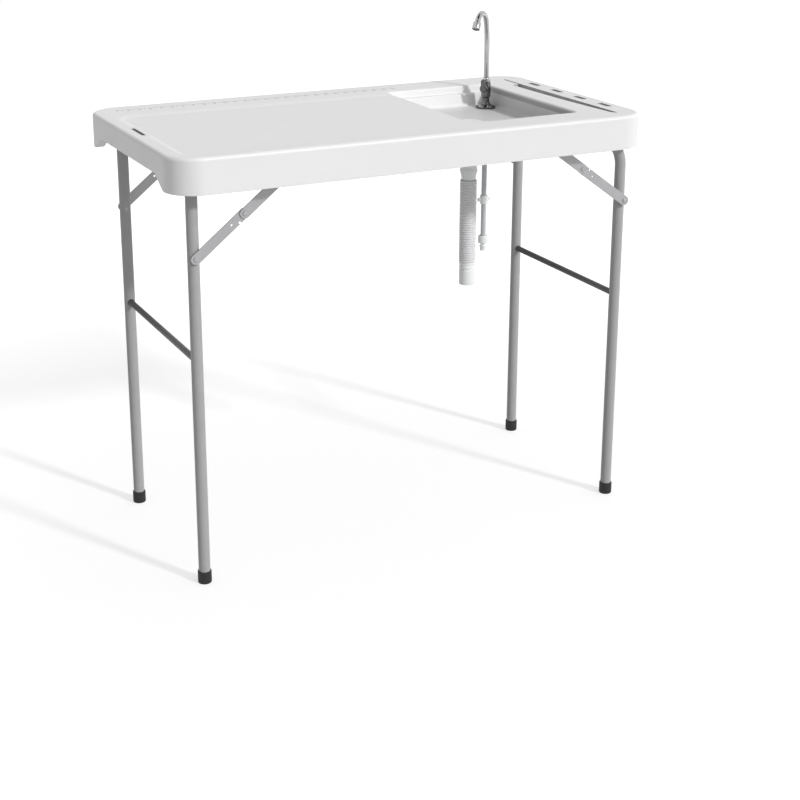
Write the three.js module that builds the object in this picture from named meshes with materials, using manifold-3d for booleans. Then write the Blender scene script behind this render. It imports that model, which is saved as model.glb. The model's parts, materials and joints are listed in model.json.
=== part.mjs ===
// Folding fish cleaning table with a sink basin, a faucet, a drain hose and two folding leg frames.
// Millimetres. X runs along the table toward the basin, Y from front to back, Z up from the floor.

import * as THREE from 'three';
import { mergeVertices } from 'three/addons/utils/BufferGeometryUtils.js';
import Module from 'manifold-3d';

const wasm = await Module();
wasm.setup();

// Driving sizes of the whole table
const tableLength = 1115;
const tableWidth = 600;
const tableHeight = 945;

// Clearances and overruns
const fitGap = 0.3;
const layerGap = 0.4;
const cutOverrun = 5;
const leastStep = 0.001;

// Counts of sides on round shapes
const tubeSides = 16;
const smallSides = 12;
const largeSides = 24;
const cornerSteps = 6;

// Materials
const plasticLook = { color: 0xf2f3f2, roughness: 0.45, metalness: 0 };
const tubeLook = { color: 0x7c7f81, roughness: 0.4, metalness: 0.7 };
const zincLook = { color: 0xb4b8ba, roughness: 0.35, metalness: 0.9 };
const capLook = { color: 0x1b1c1d, roughness: 0.8, metalness: 0 };
const chromeLook = { color: 0xd5d8da, roughness: 0.1, metalness: 1 };
const fittingLook = { color: 0xeeefef, roughness: 0.4, metalness: 0 };
const hoseLook = { color: 0xaeb1b3, roughness: 0.5, metalness: 0 };
const supplyLook = { color: 0xc9cccd, roughness: 0.5, metalness: 0 };

const table = new THREE.Group();
table.name = 'fish_cleaning_table';

// Turns a closed geometry into a solid that can be joined and cut
const solidOf = (geometry) => {
  const bare = geometry.clone();
  bare.deleteAttribute('normal');
  bare.deleteAttribute('uv');
  const merged = mergeVertices(bare);
  return new wasm.Manifold(new wasm.Mesh({
    numProp: 3,
    vertProperties: new Float32Array(merged.attributes.position.array),
    triVerts: new Uint32Array(merged.index.array),
  }));
};

// Turns a solid back into a geometry
const geometryOf = (solid) => {
  const { vertProperties, triVerts } = solid.getMesh();
  const geometry = new THREE.BufferGeometry();
  geometry.setAttribute('position', new THREE.BufferAttribute(vertProperties, 3));
  geometry.setIndex(new THREE.BufferAttribute(triVerts, 1));
  geometry.computeVertexNormals();
  return geometry;
};

// Adds one named piece to the table
const addPiece = (name, solid, look) => {
  const mesh = new THREE.Mesh(geometryOf(solid), new THREE.MeshStandardMaterial(look));
  mesh.name = name;
  table.add(mesh);
};

// A block between two corners
const block = (x0, x1, y0, y1, z0, z1) => {
  const geometry = new THREE.BoxGeometry(x1 - x0, y1 - y0, z1 - z0);
  geometry.translate((x0 + x1) / 2, (y0 + y1) / 2, (z0 + z1) / 2);
  return solidOf(geometry);
};

// A round rod between two points
const rod = (radius, from, to, sides = tubeSides) => {
  const along = new THREE.Vector3().subVectors(to, from);
  const geometry = new THREE.CylinderGeometry(radius, radius, along.length(), sides);
  const turn = new THREE.Quaternion();
  turn.setFromUnitVectors(new THREE.Vector3(0, 1, 0), along.clone().normalize());
  geometry.applyQuaternion(turn);
  geometry.translate((from.x + to.x) / 2, (from.y + to.y) / 2, (from.z + to.z) / 2);
  return solidOf(geometry);
};

const uprightRod = (radius, x, y, z0, z1, sides = tubeSides) =>
  rod(radius, new THREE.Vector3(x, y, z0), new THREE.Vector3(x, y, z1), sides);

const crossRod = (radius, x, z, y0, y1, sides = tubeSides) =>
  rod(radius, new THREE.Vector3(x, y0, z), new THREE.Vector3(x, y1, z), sides);

// A body turned about the upright line through x and y, from [radius, z] pairs
const turned = (x, y, profile, sides = largeSides) => {
  const points = profile.map(([radius, z]) => new THREE.Vector2(radius, z));
  const geometry = new THREE.LatheGeometry(points, sides);
  geometry.rotateX(Math.PI / 2);
  geometry.translate(x, y, 0);
  return solidOf(geometry);
};

// A body turned about the cross line through x and z, from [radius, distance from the middle] pairs
const turnedAcross = (x, z, side, profile, sides = smallSides) => {
  const points = profile.map(([radius, reach]) => new THREE.Vector2(radius, reach));
  const geometry = new THREE.LatheGeometry(points, sides);
  if (side < 0) {
    geometry.rotateX(Math.PI);
  }
  geometry.translate(x, 0, z);
  return solidOf(geometry);
};

// A body turned about a line, from [radius, distance along the line] pairs
const turnedAlong = (start, way, profile, sides = largeSides) => {
  const points = profile.map(([radius, reach]) => new THREE.Vector2(radius, reach));
  const geometry = new THREE.LatheGeometry(points, sides);
  geometry.applyQuaternion(new THREE.Quaternion().setFromUnitVectors(new THREE.Vector3(0, 1, 0), way));
  geometry.translate(start.x, start.y, start.z);
  return solidOf(geometry);
};

// Corner points of a rounded rectangle, with radii for front right, back right, back left, front left
const roundedOutline = (x0, x1, y0, y1, radii) => {
  const corners = [
    [x1 - radii[0], y0 + radii[0], radii[0], -Math.PI / 2],
    [x1 - radii[1], y1 - radii[1], radii[1], 0],
    [x0 + radii[2], y1 - radii[2], radii[2], Math.PI / 2],
    [x0 + radii[3], y0 + radii[3], radii[3], Math.PI],
  ];
  const points = [];
  for (const [x, y, radius, start] of corners) {
    for (let step = 0; step <= cornerSteps; step += 1) {
      const angle = start + (Math.PI / 2) * (step / cornerSteps);
      points.push(new THREE.Vector2(x + radius * Math.cos(angle), y + radius * Math.sin(angle)));
    }
  }
  return points;
};

const sameRadii = (radius) => [radius, radius, radius, radius];

// A closed body through outlines with equal numbers of points, the lowest first
const loft = (sections) => {
  const count = sections[0].points.length;
  const positions = [];
  const index = [];
  for (const { points, z } of sections) {
    for (const point of points) {
      positions.push(point.x, point.y, z);
    }
  }
  for (let level = 0; level + 1 < sections.length; level += 1) {
    for (let step = 0; step < count; step += 1) {
      const a = level * count + step;
      const b = level * count + ((step + 1) % count);
      index.push(a, b, b + count, a, b + count, a + count);
    }
  }
  const top = (sections.length - 1) * count;
  for (const [a, b, c] of THREE.ShapeUtils.triangulateShape(sections[0].points, [])) {
    index.push(a, c, b, top + a, top + b, top + c);
  }
  const geometry = new THREE.BufferGeometry();
  geometry.setAttribute('position', new THREE.Float32BufferAttribute(positions, 3));
  geometry.setIndex(index);
  return solidOf(geometry);
};

const upright = (points, z0, z1) => loft([{ points, z: z0 }, { points, z: z1 }]);

// A body with an outline in Y and Z, from x0 to x1
const alongPlate = (shape, x0, x1) => {
  const options = { depth: x1 - x0, bevelEnabled: false, curveSegments: cornerSteps };
  const geometry = new THREE.ExtrudeGeometry(shape, options);
  geometry.rotateX(Math.PI / 2);
  geometry.rotateZ(Math.PI / 2);
  geometry.translate(x0, 0, 0);
  return solidOf(geometry);
};

// Points of a circle, for tubes and for holes in flat outlines
const circlePoints = (x, y, radius, count) => {
  const points = [];
  for (let side = 0; side < count; side += 1) {
    const angle = (2 * Math.PI * (side + 0.5)) / count;
    points.push(new THREE.Vector2(x + radius * Math.cos(angle), y + radius * Math.sin(angle)));
  }
  return points;
};

// A curve that keeps its points as given, so that a tube has one ring at each of them
class PointCurve extends THREE.Curve {
  constructor(points) {
    super();
    this.points = points;
  }

  getPoint(share, target = new THREE.Vector3()) {
    const place = share * (this.points.length - 1);
    const first = Math.min(Math.floor(place), this.points.length - 2);
    return target.lerpVectors(this.points[first], this.points[first + 1], place - first);
  }

  getUtoTmapping(share) {
    return share;
  }
}

// A round tube through points
const tubeThrough = (points, radius, sides = tubeSides) => {
  const geometry = new THREE.ExtrudeGeometry(new THREE.Shape(circlePoints(0, 0, radius, sides)), {
    steps: points.length - 1,
    extrudePath: new PointCurve(points),
  });
  return solidOf(geometry);
};

// Points of a bend in an upright plane, where way is level and lean is the angle from upright
const bendPoints = (start, way, fromLean, toLean, radius, steps) => {
  const bend = Math.sign(toLean - fromLean) * radius;
  const spot = (lean) => new THREE.Vector3(0, 0, Math.sin(lean)).addScaledVector(way, -Math.cos(lean));
  const centre = start.clone().addScaledVector(spot(fromLean), -bend);
  const points = [];
  for (let step = 0; step <= steps; step += 1) {
    const lean = fromLean + (toLean - fromLean) * (step / steps);
    points.push(centre.clone().addScaledVector(spot(lean), bend));
  }
  return points;
};

// Moves from a point by a distance in the direction that leans by an angle from upright
const stepOn = (start, way, lean, distance) => {
  const next = start.clone().addScaledVector(way, distance * Math.sin(lean));
  next.z += distance * Math.cos(lean);
  return next;
};

// Table top: a moulded slab with skirts all round
const halfLength = tableLength / 2;
const halfWidth = tableWidth / 2;
const top = {
  skirtHeight: 76,
  slabThickness: 20,
  planCornerRadius: 66,
  innerCornerRadius: 20,
  edgeRadius: 9,
  edgeSteps: 4,
  endWall: 20,
  sideWall: 20,
  archRise: 28,
  archFromCorner: 120,
  archFootFromCorner: 65,
  notchPitch: 62,
  notchWidth: 31,
  notchDepth: 6,
  notchEndMargin: 60,
};
const skirtBottom = tableHeight - top.skirtHeight;
const slabUnderside = tableHeight - top.slabThickness;
const innerHalfLength = halfLength - top.endWall;
const innerHalfWidth = halfWidth - top.sideWall;

// Basin: a tapered tub near the right end, with its own corner radii
const basin = {
  rightRim: 136.5,
  sideRim: 88,
  length: 280,
  leftSlope: 27,
  rightSlope: 3,
  sideSlope: 22,
  depth: 48,
  floorThickness: 3.5,
  shellBeyondLeft: 6,
  shellBeyondRight: 36,
  shellInsideSides: 6,
  shellSlopeLeft: 16,
  shellSlopeRight: 5,
  shellSlopeSides: 7,
  shellRadius: 30,
  frontLeftRadius: 72,
  otherRadius: 22,
  floorFrontLeftRadius: 56,
  floorOtherRadius: 18,
};
const basinRight = halfLength - basin.rightRim;
const basinLeft = basinRight - basin.length;
const basinHalfWidth = halfWidth - basin.sideRim;
const basinFloor = tableHeight - basin.depth;
const basinUnderside = basinFloor - basin.floorThickness;

// Work surface: a shallow recess that ends at the basin, its edges measured inward
const work = {
  depth: 3,
  leftRim: 37.5,
  frontRim: 28,
  backRim: 122,
  basinRim: 3,
  cornerRadius: 24,
  leftCornerRadius: 40,
};

// Slots and grooves in the top
const slit = { fromEdge: 27.5, width: 9, halfLength: 42 };
const toolSlot = { fromEdge: 29.5, length: 48, width: 14, pitch: 102, shift: -7, count: 4 };
const groove = { fromEdge: 63.5, width: 10, depth: 4, fromFront: 44, fromBack: 29 };

// Drain and faucet places on the basin floor
const drain = {
  fromBasinLeft: 124,
  throatRadius: 23,
  throatBore: 20,
  throatDrop: 24,
  flangeRadius: 31,
  flangeThickness: 2,
  spokeWidth: 4,
  spokeDepth: 4,
  spokeCount: 3,
  hubRadius: 6,
  nutRadius: 30,
  nutHeight: 9,
  nutSides: 8,
};
const shank = { fromBasinRight: 28, fromBasinBack: 64, radius: 10, drop: 32 };
const drainPlace = { x: basinLeft + drain.fromBasinLeft, y: 0 };
const faucetPlace = { x: basinRight - shank.fromBasinRight, y: basinHalfWidth - shank.fromBasinBack };
const drainHoleRadius = drain.throatRadius + fitGap;
const shankHoleRadius = shank.radius + fitGap;

// A slot with round ends along Y
const slotOutline = (x, y0, y1, width) => {
  const radius = width / 2;
  const points = roundedOutline(x - radius, x + radius, y0, y1, sameRadii(radius));
  return points.filter((point, place) => place === 0 || point.distanceTo(points[place - 1]) > leastStep);
};

const buildTop = () => {
  const sections = [];
  const outline = (inset) => roundedOutline(
    inset - halfLength,
    halfLength - inset,
    inset - halfWidth,
    halfWidth - inset,
    sameRadii(top.planCornerRadius - inset),
  );
  sections.push({ points: outline(0), z: skirtBottom });
  for (let step = 0; step <= top.edgeSteps; step += 1) {
    const angle = (Math.PI / 2) * (step / top.edgeSteps);
    sections.push({
      points: outline(top.edgeRadius * (1 - Math.cos(angle))),
      z: tableHeight - top.edgeRadius * (1 - Math.sin(angle)),
    });
  }
  let body = loft(sections);

  const hollow = roundedOutline(
    -innerHalfLength,
    innerHalfLength,
    -innerHalfWidth,
    innerHalfWidth,
    sameRadii(top.innerCornerRadius),
  );
  body = body.subtract(upright(hollow, skirtBottom - cutOverrun, slabUnderside));

  const archShape = new THREE.Shape();
  const archHead = halfWidth - top.archFromCorner;
  const archSlope = (top.archFromCorner - top.archFootFromCorner) / top.archRise;
  const archFoot = halfWidth - top.archFootFromCorner + archSlope * cutOverrun;
  archShape.moveTo(-archFoot, skirtBottom - cutOverrun);
  archShape.lineTo(archFoot, skirtBottom - cutOverrun);
  archShape.lineTo(archHead, skirtBottom + top.archRise);
  archShape.lineTo(-archHead, skirtBottom + top.archRise);
  body = body.subtract(alongPlate(archShape, -halfLength - cutOverrun, cutOverrun - innerHalfLength));
  body = body.subtract(alongPlate(archShape, innerHalfLength - cutOverrun, halfLength + cutOverrun));

  const notchReach = innerHalfLength - top.notchEndMargin;
  const notchCount = 2 * Math.floor(notchReach / top.notchPitch) + 1;
  for (let step = 0; step < notchCount; step += 1) {
    const x = (step - (notchCount - 1) / 2) * top.notchPitch;
    for (const side of [-1, 1]) {
      const y0 = side * (innerHalfWidth - cutOverrun);
      const y1 = side * (innerHalfWidth + top.notchDepth);
      const notch = block(
        x - top.notchWidth / 2,
        x + top.notchWidth / 2,
        Math.min(y0, y1),
        Math.max(y0, y1),
        skirtBottom - cutOverrun,
        slabUnderside,
      );
      body = body.subtract(notch);
    }
  }

  const shellLeft = basinLeft - basin.shellBeyondLeft;
  const shellRight = basinRight + basin.shellBeyondRight;
  const shellHalfWidth = basinHalfWidth - basin.shellInsideSides;
  const shellTop = roundedOutline(
    shellLeft,
    shellRight,
    -shellHalfWidth,
    shellHalfWidth,
    sameRadii(basin.shellRadius),
  );
  const shellBottom = roundedOutline(
    shellLeft + basin.shellSlopeLeft,
    shellRight - basin.shellSlopeRight,
    basin.shellSlopeSides - shellHalfWidth,
    shellHalfWidth - basin.shellSlopeSides,
    sameRadii(basin.shellRadius),
  );
  body = body.add(loft([
    { points: shellBottom, z: basinUnderside },
    { points: shellTop, z: slabUnderside },
    { points: shellTop, z: slabUnderside + top.slabThickness / 2 },
  ]));
  const mouth = roundedOutline(
    basinLeft,
    basinRight,
    -basinHalfWidth,
    basinHalfWidth,
    [basin.otherRadius, basin.otherRadius, basin.otherRadius, basin.frontLeftRadius],
  );
  const floor = roundedOutline(
    basinLeft + basin.leftSlope,
    basinRight - basin.rightSlope,
    basin.sideSlope - basinHalfWidth,
    basinHalfWidth - basin.sideSlope,
    [basin.floorOtherRadius, basin.floorOtherRadius, basin.floorOtherRadius, basin.floorFrontLeftRadius],
  );
  body = body.subtract(loft([
    { points: floor, z: basinFloor },
    { points: mouth, z: tableHeight },
    { points: mouth, z: tableHeight + cutOverrun },
  ]));

  const surface = roundedOutline(
    work.leftRim - halfLength,
    basinLeft - work.basinRim,
    work.frontRim - halfWidth,
    halfWidth - work.backRim,
    [work.cornerRadius, work.cornerRadius, work.leftCornerRadius, work.leftCornerRadius],
  );
  body = body.subtract(upright(surface, tableHeight - work.depth, tableHeight + cutOverrun));

  const slitX = slit.fromEdge - halfLength;
  const slitOutline = slotOutline(slitX, -slit.halfLength, slit.halfLength, slit.width);
  body = body.subtract(upright(slitOutline, slabUnderside - cutOverrun, tableHeight + cutOverrun));
  const slotX = halfLength - toolSlot.fromEdge;
  for (let step = 0; step < toolSlot.count; step += 1) {
    const middle = toolSlot.shift + (step - (toolSlot.count - 1) / 2) * toolSlot.pitch;
    const y0 = middle - toolSlot.length / 2;
    const outlinePoints = slotOutline(slotX, y0, y0 + toolSlot.length, toolSlot.width);
    body = body.subtract(upright(outlinePoints, slabUnderside - cutOverrun, tableHeight + cutOverrun));
  }
  const grooveX = halfLength - groove.fromEdge;
  const grooveFront = groove.fromFront - halfWidth;
  const grooveBack = halfWidth - groove.fromBack;
  const groovePoints = slotOutline(grooveX, grooveFront, grooveBack, groove.width);
  body = body.subtract(upright(groovePoints, tableHeight - groove.depth, tableHeight + cutOverrun));

  const holeBottom = basinUnderside - cutOverrun;
  const holeTop = basinFloor + cutOverrun;
  body = body.subtract(
    uprightRod(drainHoleRadius, drainPlace.x, drainPlace.y, holeBottom, holeTop, largeSides),
  );
  return body.subtract(
    uprightRod(shankHoleRadius, faucetPlace.x, faucetPlace.y, holeBottom, holeTop, largeSides),
  );
};
addPiece('table_top', buildTop(), plasticLook);

// Side rails: channels open toward the skirts, hung under the slab
const rail = {
  fromSkirt: 7,
  breadth: 18,
  depth: 48.7,
  wall: 1.5,
  leftEnd: 35.5,
  rightEnd: 33.5,
};
const railOuter = innerHalfWidth - rail.fromSkirt;
const railInner = railOuter - rail.breadth;
const railTop = slabUnderside - fitGap;
const railBottom = railTop - rail.depth;
const clip = { width: 16, thickness: 2, overlapInside: 2, shares: [-0.455, -0.168, 0.077, 0.408] };

// Leg frames: pivots, tubes and crossbars
const legTubeRadius = 12.5;
const axleRadius = 7;
const crossbarRadius = 7;
const cap = { radius: 15, height: 28, floor: 4 };
const pivotDrop = 22;
const pivotHeight = slabUnderside - pivotDrop;
const leftFrame = {
  name: 'left',
  inward: 1,
  pivotFromEnd: 59.5,
  legFromRail: 27,
  offset: 0,
  tubeAbovePivot: 17,
  crossbarDrop: 399,
  rivetDrop: 177,
  pinIn: 197,
  pinDrop: 19,
  kneeShare: 0.537,
};
const rightFrame = {
  name: 'right',
  inward: -1,
  pivotFromEnd: 50.5,
  legFromRail: 31,
  offset: 29,
  tubeAbovePivot: 14,
  crossbarDrop: 396,
  rivetDrop: 167,
  pinIn: 190,
  pinDrop: 8,
  kneeShare: 0.543,
};
const bendSweep = (36 * Math.PI) / 180;
const bendSteps = 4;
const legY = (frame) => railInner - frame.legFromRail;
const pivotX = (frame) => -frame.inward * (halfLength - frame.pivotFromEnd);
const legX = (frame) => pivotX(frame) - frame.inward * frame.offset;

// Braces: flat links in two layers outside the legs, with rivets and pins
const link = {
  width: 22,
  thickness: 3,
  fromRail: 11,
  pilotRadius: 2.5,
  pilotFromKnee: 36,
  lockNotch: 5,
  lockFromKnee: 20,
};
const rivet = { shankRadius: 4, headRadius: 5.5, headThickness: 2.5, collarRadius: 7, headRound: 1 };
const lowerInner = railInner - link.fromRail;
const lowerOuter = lowerInner + link.thickness;
const upperInner = lowerOuter + layerGap;
const upperOuter = upperInner + link.thickness;
const pinReach = 4;

const buildRail = (side) => {
  const x0 = rail.leftEnd - halfLength;
  const x1 = halfLength - rail.rightEnd;
  const channel = new THREE.Shape();
  channel.moveTo(railInner, railBottom);
  channel.lineTo(railOuter, railBottom);
  channel.lineTo(railOuter, railBottom + rail.wall);
  channel.lineTo(railInner + rail.wall, railBottom + rail.wall);
  channel.lineTo(railInner + rail.wall, railTop - rail.wall);
  channel.lineTo(railOuter, railTop - rail.wall);
  channel.lineTo(railOuter, railTop);
  channel.lineTo(railInner, railTop);
  let body = alongPlate(channel, x0, x1);
  const y0 = railInner - cutOverrun;
  const y1 = railInner + rail.wall + cutOverrun;
  for (const frame of [leftFrame, rightFrame]) {
    const x = pivotX(frame);
    const pinX = x + frame.inward * frame.pinIn;
    const pinZ = pivotHeight - frame.pinDrop;
    body = body.subtract(crossRod(axleRadius + fitGap, x, pivotHeight, y0, y1));
    body = body.subtract(crossRod(rivet.shankRadius + fitGap, pinX, pinZ, y0, y1, smallSides));
  }
  return side > 0 ? body : body.mirror([0, 1, 0]);
};

// A clip holds the rail up to the slab: a strap under the rail and a leg outside it
const buildClip = (x, side) => {
  const strapTop = railBottom - fitGap;
  const strapBottom = strapTop - clip.thickness;
  const legInner = railOuter + fitGap;
  const legOuter = legInner + clip.thickness;
  const shape = new THREE.Shape();
  shape.moveTo(railInner + clip.overlapInside, strapBottom);
  shape.lineTo(legOuter, strapBottom);
  shape.lineTo(legOuter, slabUnderside - fitGap);
  shape.lineTo(legInner, slabUnderside - fitGap);
  shape.lineTo(legInner, strapTop);
  shape.lineTo(railInner + clip.overlapInside, strapTop);
  const body = alongPlate(shape, x - clip.width / 2, x + clip.width / 2);
  return side > 0 ? body : body.mirror([0, 1, 0]);
};

const sides = [[-1, 'front'], [1, 'back']];
for (const [side, sideName] of sides) {
  addPiece(`${sideName}_side_rail`, buildRail(side), zincLook);
  clip.shares.forEach((share, place) => {
    const name = `${sideName}_rail_clip_${place + 1}`;
    addPiece(name, buildClip(share * tableLength, side), zincLook);
  });
}

// Centre line of one leg, from inside its foot cap up past the pivot
const legPoints = (frame, side) => {
  const y = side * legY(frame);
  const bottom = cap.floor + fitGap;
  const end = pivotHeight + frame.tubeAbovePivot;
  if (frame.offset === 0) {
    return [new THREE.Vector3(legX(frame), y, bottom), new THREE.Vector3(legX(frame), y, end)];
  }
  const radius = frame.offset / (2 * (1 - Math.cos(bendSweep)));
  const rise = 2 * radius * Math.sin(bendSweep);
  const way = new THREE.Vector3(frame.inward, 0, 0);
  const bendStart = new THREE.Vector3(legX(frame), y, pivotHeight - rise);
  const lower = bendPoints(bendStart, way, 0, bendSweep, radius, bendSteps);
  const upper = bendPoints(lower[bendSteps], way, bendSweep, 0, radius, bendSteps);
  return [
    new THREE.Vector3(legX(frame), y, bottom),
    ...lower,
    ...upper.slice(1),
    new THREE.Vector3(pivotX(frame), y, end),
  ];
};

const buildLeg = (frame, side) => {
  let body = tubeThrough(legPoints(frame, side), legTubeRadius);
  const y0 = side * (legY(frame) - legTubeRadius - cutOverrun);
  const y1 = side * (legY(frame) + legTubeRadius + cutOverrun);
  body = body.subtract(crossRod(axleRadius + fitGap, pivotX(frame), pivotHeight, y0, y1));
  const rivetZ = pivotHeight - frame.rivetDrop;
  return body.subtract(crossRod(rivet.shankRadius + fitGap, legX(frame), rivetZ, y0, y1, smallSides));
};

const buildCrossbar = (frame) => {
  const x = legX(frame);
  const z = pivotHeight - frame.crossbarDrop;
  let body = crossRod(crossbarRadius, x, z, -legY(frame), legY(frame));
  for (const side of [-1, 1]) {
    const reach = crossbarRadius + cutOverrun;
    body = body.subtract(
      uprightRod(legTubeRadius + fitGap, x, side * legY(frame), z - reach, z + reach, largeSides),
    );
  }
  return body;
};

const buildAxle = (frame) => {
  const reach = railInner + rail.wall + pinReach;
  return crossRod(axleRadius, pivotX(frame), pivotHeight, -reach, reach);
};

const buildCap = (frame, side) => turned(legX(frame), side * legY(frame), [
  [0, 0],
  [cap.radius - fitGap, 0],
  [cap.radius, fitGap],
  [cap.radius, cap.height],
  [legTubeRadius + fitGap, cap.height],
  [legTubeRadius + fitGap, cap.floor],
  [0, cap.floor],
]);

// The brace in the plane of X and Z: the rivet on the leg, the pin on the rail and the knee between
const bracePlan = (frame) => {
  const leg = new THREE.Vector2(legX(frame), pivotHeight - frame.rivetDrop);
  const pin = new THREE.Vector2(
    pivotX(frame) + frame.inward * frame.pinIn,
    pivotHeight - frame.pinDrop,
  );
  const knee = leg.clone().lerp(pin, frame.kneeShare);
  return { leg, pin, knee };
};

// A flat bar with round ends from one point to another, with a hole at each
const buildLink = (from, to, innerFace, side, cuts = []) => {
  const along = to.clone().sub(from);
  const angle = Math.atan2(along.y, along.x);
  const radius = link.width / 2;
  const shape = new THREE.Shape();
  shape.absarc(0, 0, radius, Math.PI / 2, (3 * Math.PI) / 2, false);
  shape.absarc(along.length(), 0, radius, -Math.PI / 2, Math.PI / 2, false);
  for (const x of [0, along.length()]) {
    shape.holes.push(new THREE.Path(circlePoints(x, 0, rivet.shankRadius + fitGap, smallSides)));
  }
  for (const cut of cuts) {
    shape.holes.push(cut);
  }
  const options = { depth: link.thickness, bevelEnabled: false, curveSegments: tubeSides / 2 };
  const geometry = new THREE.ExtrudeGeometry(shape, options);
  geometry.rotateX(Math.PI / 2);
  geometry.rotateY(-angle);
  const y1 = side > 0 ? innerFace + link.thickness : -innerFace;
  geometry.translate(from.x, y1, from.y);
  return solidOf(geometry);
};

const buildLowerLink = (frame, side) => {
  const { leg, knee } = bracePlan(frame);
  const length = leg.distanceTo(knee);
  const pilotX = length - link.pilotFromKnee;
  const pilot = new THREE.Path(circlePoints(pilotX, 0, link.pilotRadius, smallSides));
  const lock = new THREE.Path();
  const half = link.lockNotch / 2;
  const middle = length - link.lockFromKnee;
  lock.moveTo(middle - half, -half);
  lock.lineTo(middle - half, half);
  lock.lineTo(middle + half, half);
  lock.lineTo(middle + half, -half);
  return buildLink(leg, knee, lowerInner, side, [pilot, lock]);
};

const buildUpperLink = (frame, side) => {
  const { pin, knee } = bracePlan(frame);
  return buildLink(knee, pin, upperInner, side);
};

// Rivet through the leg and the lower link, with a collar between the two
const buildLegRivet = (frame, side) => {
  const { leg } = bracePlan(frame);
  const legOuter = legY(frame) + legTubeRadius;
  const headIn = lowerOuter + fitGap;
  const tail = legY(frame) - legTubeRadius - fitGap;
  return turnedAcross(leg.x, leg.y, side, [
    [0, tail - rivet.headThickness],
    [rivet.headRadius, tail - rivet.headThickness],
    [rivet.headRadius, tail],
    [rivet.shankRadius, tail],
    [rivet.shankRadius, legOuter + fitGap],
    [rivet.collarRadius, legOuter + fitGap],
    [rivet.collarRadius, lowerInner - fitGap],
    [rivet.shankRadius, lowerInner - fitGap],
    [rivet.shankRadius, headIn],
    [rivet.headRadius, headIn],
    [rivet.headRadius, headIn + rivet.headThickness - rivet.headRound],
    [rivet.headRadius - rivet.headRound, headIn + rivet.headThickness],
    [0, headIn + rivet.headThickness],
  ]);
};

// Knee rivet, held by the upper link, whose tail ends at the lower link's face
const buildKneeRivet = (frame, side) => {
  const { knee } = bracePlan(frame);
  const headIn = upperOuter + fitGap;
  return turnedAcross(knee.x, knee.y, side, [
    [0, upperInner],
    [rivet.shankRadius, upperInner],
    [rivet.shankRadius, headIn],
    [rivet.headRadius, headIn],
    [rivet.headRadius, headIn + rivet.headThickness - rivet.headRound],
    [rivet.headRadius - rivet.headRound, headIn + rivet.headThickness],
    [0, headIn + rivet.headThickness],
  ]);
};

// Pin that carries the upper link on the rail
const buildRailPin = (frame, side) => {
  const { pin } = bracePlan(frame);
  const headOuter = upperInner - fitGap;
  const nutIn = railInner + rail.wall + fitGap;
  return turnedAcross(pin.x, pin.y, side, [
    [0, headOuter - rivet.headThickness],
    [rivet.headRadius, headOuter - rivet.headThickness],
    [rivet.headRadius, headOuter],
    [rivet.shankRadius, headOuter],
    [rivet.shankRadius, upperOuter + fitGap],
    [rivet.collarRadius, upperOuter + fitGap],
    [rivet.collarRadius, railInner - fitGap],
    [rivet.shankRadius, railInner - fitGap],
    [rivet.shankRadius, nutIn],
    [rivet.headRadius, nutIn],
    [rivet.headRadius, nutIn + rivet.headThickness],
    [0, nutIn + rivet.headThickness],
  ]);
};

for (const frame of [leftFrame, rightFrame]) {
  addPiece(`${frame.name}_axle`, buildAxle(frame), zincLook);
  addPiece(`${frame.name}_crossbar`, buildCrossbar(frame), tubeLook);
  for (const [side, sideName] of sides) {
    const start = `${frame.name}_${sideName}`;
    addPiece(`${start}_leg`, buildLeg(frame, side), tubeLook);
    addPiece(`${start}_foot_cap`, buildCap(frame, side), capLook);
    addPiece(`${start}_lower_link`, buildLowerLink(frame, side), zincLook);
    addPiece(`${start}_upper_link`, buildUpperLink(frame, side), zincLook);
    addPiece(`${start}_leg_rivet`, buildLegRivet(frame, side), zincLook);
    addPiece(`${start}_knee_rivet`, buildKneeRivet(frame, side), zincLook);
    addPiece(`${start}_rail_pin`, buildRailPin(frame, side), zincLook);
  }
}

// Drain: strainer, locknut, tailpiece with its cone, ribbed hose and end cuff, on one upright line
const tail = {
  collarRadius: 27,
  collarHeight: 14,
  radius: 19,
  bore: 14,
  rimRadius: 20.5,
  rimHeight: 9,
  coneHeight: 17,
  coneRadius: 16.5,
  shoulder: 6,
};
const drainHose = {
  topDrop: 131.8,
  length: 199.4,
  ribPitch: 5.7,
  crestRadius: 20.6,
  valleyRadius: 19,
  boreRadius: 17,
  crestShare: 0.5,
  sides: 8,
  boreEvery: 5,
};
const cuff = {
  height: 55,
  radius: 19,
  bore: 16,
  grooveDepth: 1.6,
  grooveWidth: 4,
  grooveShares: [0.86, 0.7],
};

const hoseTop = basinUnderside - drainHose.topDrop;
const hoseBottom = hoseTop - drainHose.length;
const cuffTop = hoseBottom - fitGap;
const cuffBottom = cuffTop - cuff.height;

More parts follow.
